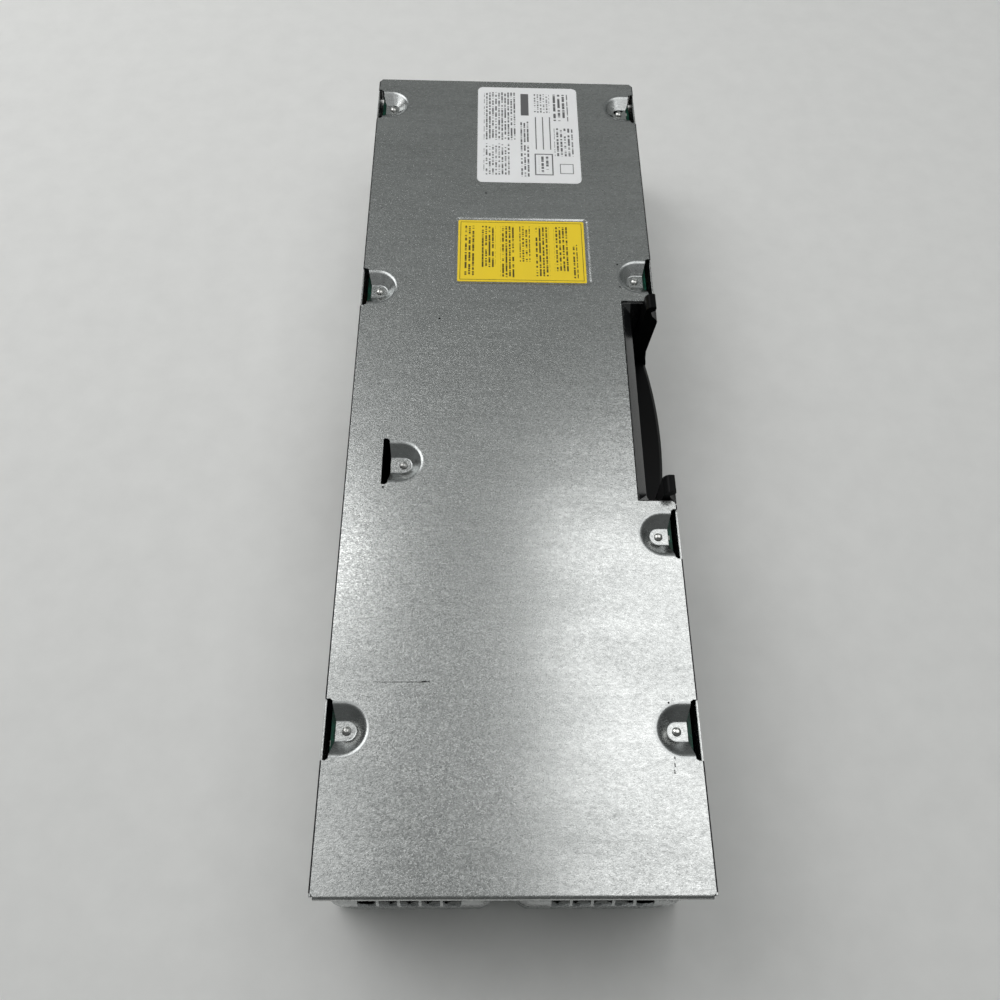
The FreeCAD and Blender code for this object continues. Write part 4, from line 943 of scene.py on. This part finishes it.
lightLow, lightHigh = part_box("status_light")
lightRound = (lightHigh.x - lightLow.x) / 2 / mm
lightLong = (lightHigh.y - lightLow.y) / mm
bm = bmesh.new()
corners = [(lightRound, lightEnd["chamfer"]), (lightRound, lightLong), (0, lightLong)]
domed = rounded(corners, (0, lightEnd["dome"], 0), lightEnd["domeSteps"])
profile = [(0, 0), (lightRound - lightEnd["chamfer"], 0)] + [tuple(point) for point in domed]
lightFoot = Vector(((lightLow.x + lightHigh.x) / 2, lightLow.y, (lightLow.z + lightHigh.z) / 2))
turnedSolid(bm, profile, lightFoot, Vector((0, 1, 0)), lightEnd["steps"])
tidy(bm)
addPiece("light_dome", bm, finishes["light_pipe"], replaced=["status_light"])
print("screws and light done")


# Stage, light and camera, with the floor and the lamps in metres

stage = {"size": 12.0, "tone": (0.80, 0.80, 0.785), "spread": 0.02, "gloss": (0.75, 0.85)}
floorMesh = bmesh.new()
bmesh.ops.create_grid(floorMesh, x_segments=1, y_segments=1, size=stage["size"] / 2)
floorData = bpy.data.meshes.new("floor")
floorMesh.to_mesh(floorData)
floorMesh.free()
paper = makePlain("paper", stage["tone"], spread=stage["spread"], gloss=stage["gloss"], bump=0.0)
floorData.materials.append(paper)
floor = bpy.data.objects.new("floor", floorData)
scene.collection.objects.link(floor)

# the plate mirrors the right panel and the dim strip, with a dark gap between
# level is the power of a square metre of the lamp, divided by pi
lamps = {
    "right_panel": {"place": (0.53, 0.14, 1.17), "aim": (0.53, 0.14, 0), "size": (0.84, 0.86), "level": 1.5},
    "left_strip": {"place": (-0.39, 0.0, 1.17), "aim": (-0.39, 0.0, 0), "size": (0.36, 0.92), "level": 0.75},
    "left_panel": {"place": (-1.1, 0.6, 1.17), "aim": (-1.0, 0.5, 0), "size": (1.05, 1.4), "level": 2.4},
    "far_fill": {"place": (-0.2, 2.8, 1.5), "aim": (0, 0, 0), "size": (3.0, 0.8), "level": 3.2,
                 "gloss": False},
}
for name, lamp in lamps.items():
    light = bpy.data.lights.new(name, "AREA")
    light.shape = "RECTANGLE"
    light.size, light.size_y = lamp["size"]
    light.energy = lamp["level"] * math.pi * light.size * light.size_y
    panel = bpy.data.objects.new(name, light)
    panel.location = lamp["place"]
    aim = Vector(lamp["aim"]) - Vector(lamp["place"])
    panel.rotation_euler = aim.to_track_quat("-Z", "Y").to_euler()
    panel.visible_glossy = lamp.get("gloss", True)
    scene.collection.objects.link(panel)

# the room is darker on the near side, behind the camera, and low down
room = {"tint": (0.96, 1.0, 0.985, 1.0), "far": 0.25, "near": 0.13, "low": 0.5,
        "turn": (-0.5, 0.15), "climb": (0.05, 0.55)}   # headings between which the level changes
world = bpy.data.worlds.new("room")
world.use_nodes = True
tree = world.node_tree
heading = addNode(tree, "SeparateXYZ", {0: addNode(tree, "TexCoord").outputs["Generated"]}).outputs
backdrop = tree.nodes["Background"]
backdrop.inputs["Color"].default_value = room["tint"]
ahead = mapped(tree, heading[1], *room["turn"], room["near"], room["far"])
above = mapped(tree, heading[2], *room["climb"], room["low"], 1.0)
tree.links.new(maths(tree, "MULTIPLY", ahead, above), backdrop.inputs["Strength"])
scene.world = world

view = {"place": (-14.4, -225.5, 409.1), "aim": (0.0259, 0.4474, -0.894), "right": (0.9996, -0.0033, 0.0273),
        "lens": 30.67, "sensor": 36.0, "clip": 10.0}
cameraData = bpy.data.cameras.new("camera")
cameraData.lens = view["lens"]
cameraData.sensor_width = view["sensor"]
cameraData.clip_start = view["clip"] * mm
camera = bpy.data.objects.new("camera", cameraData)
back = -Vector(view["aim"]).normalized()
right = Vector(view["right"]).normalized()
turned = Matrix((right, back.cross(right), back)).transposed().to_4x4()
camera.matrix_world = Matrix.Translation(Vector(view["place"]) * mm) @ turned
scene.collection.objects.link(camera)
scene.camera = camera
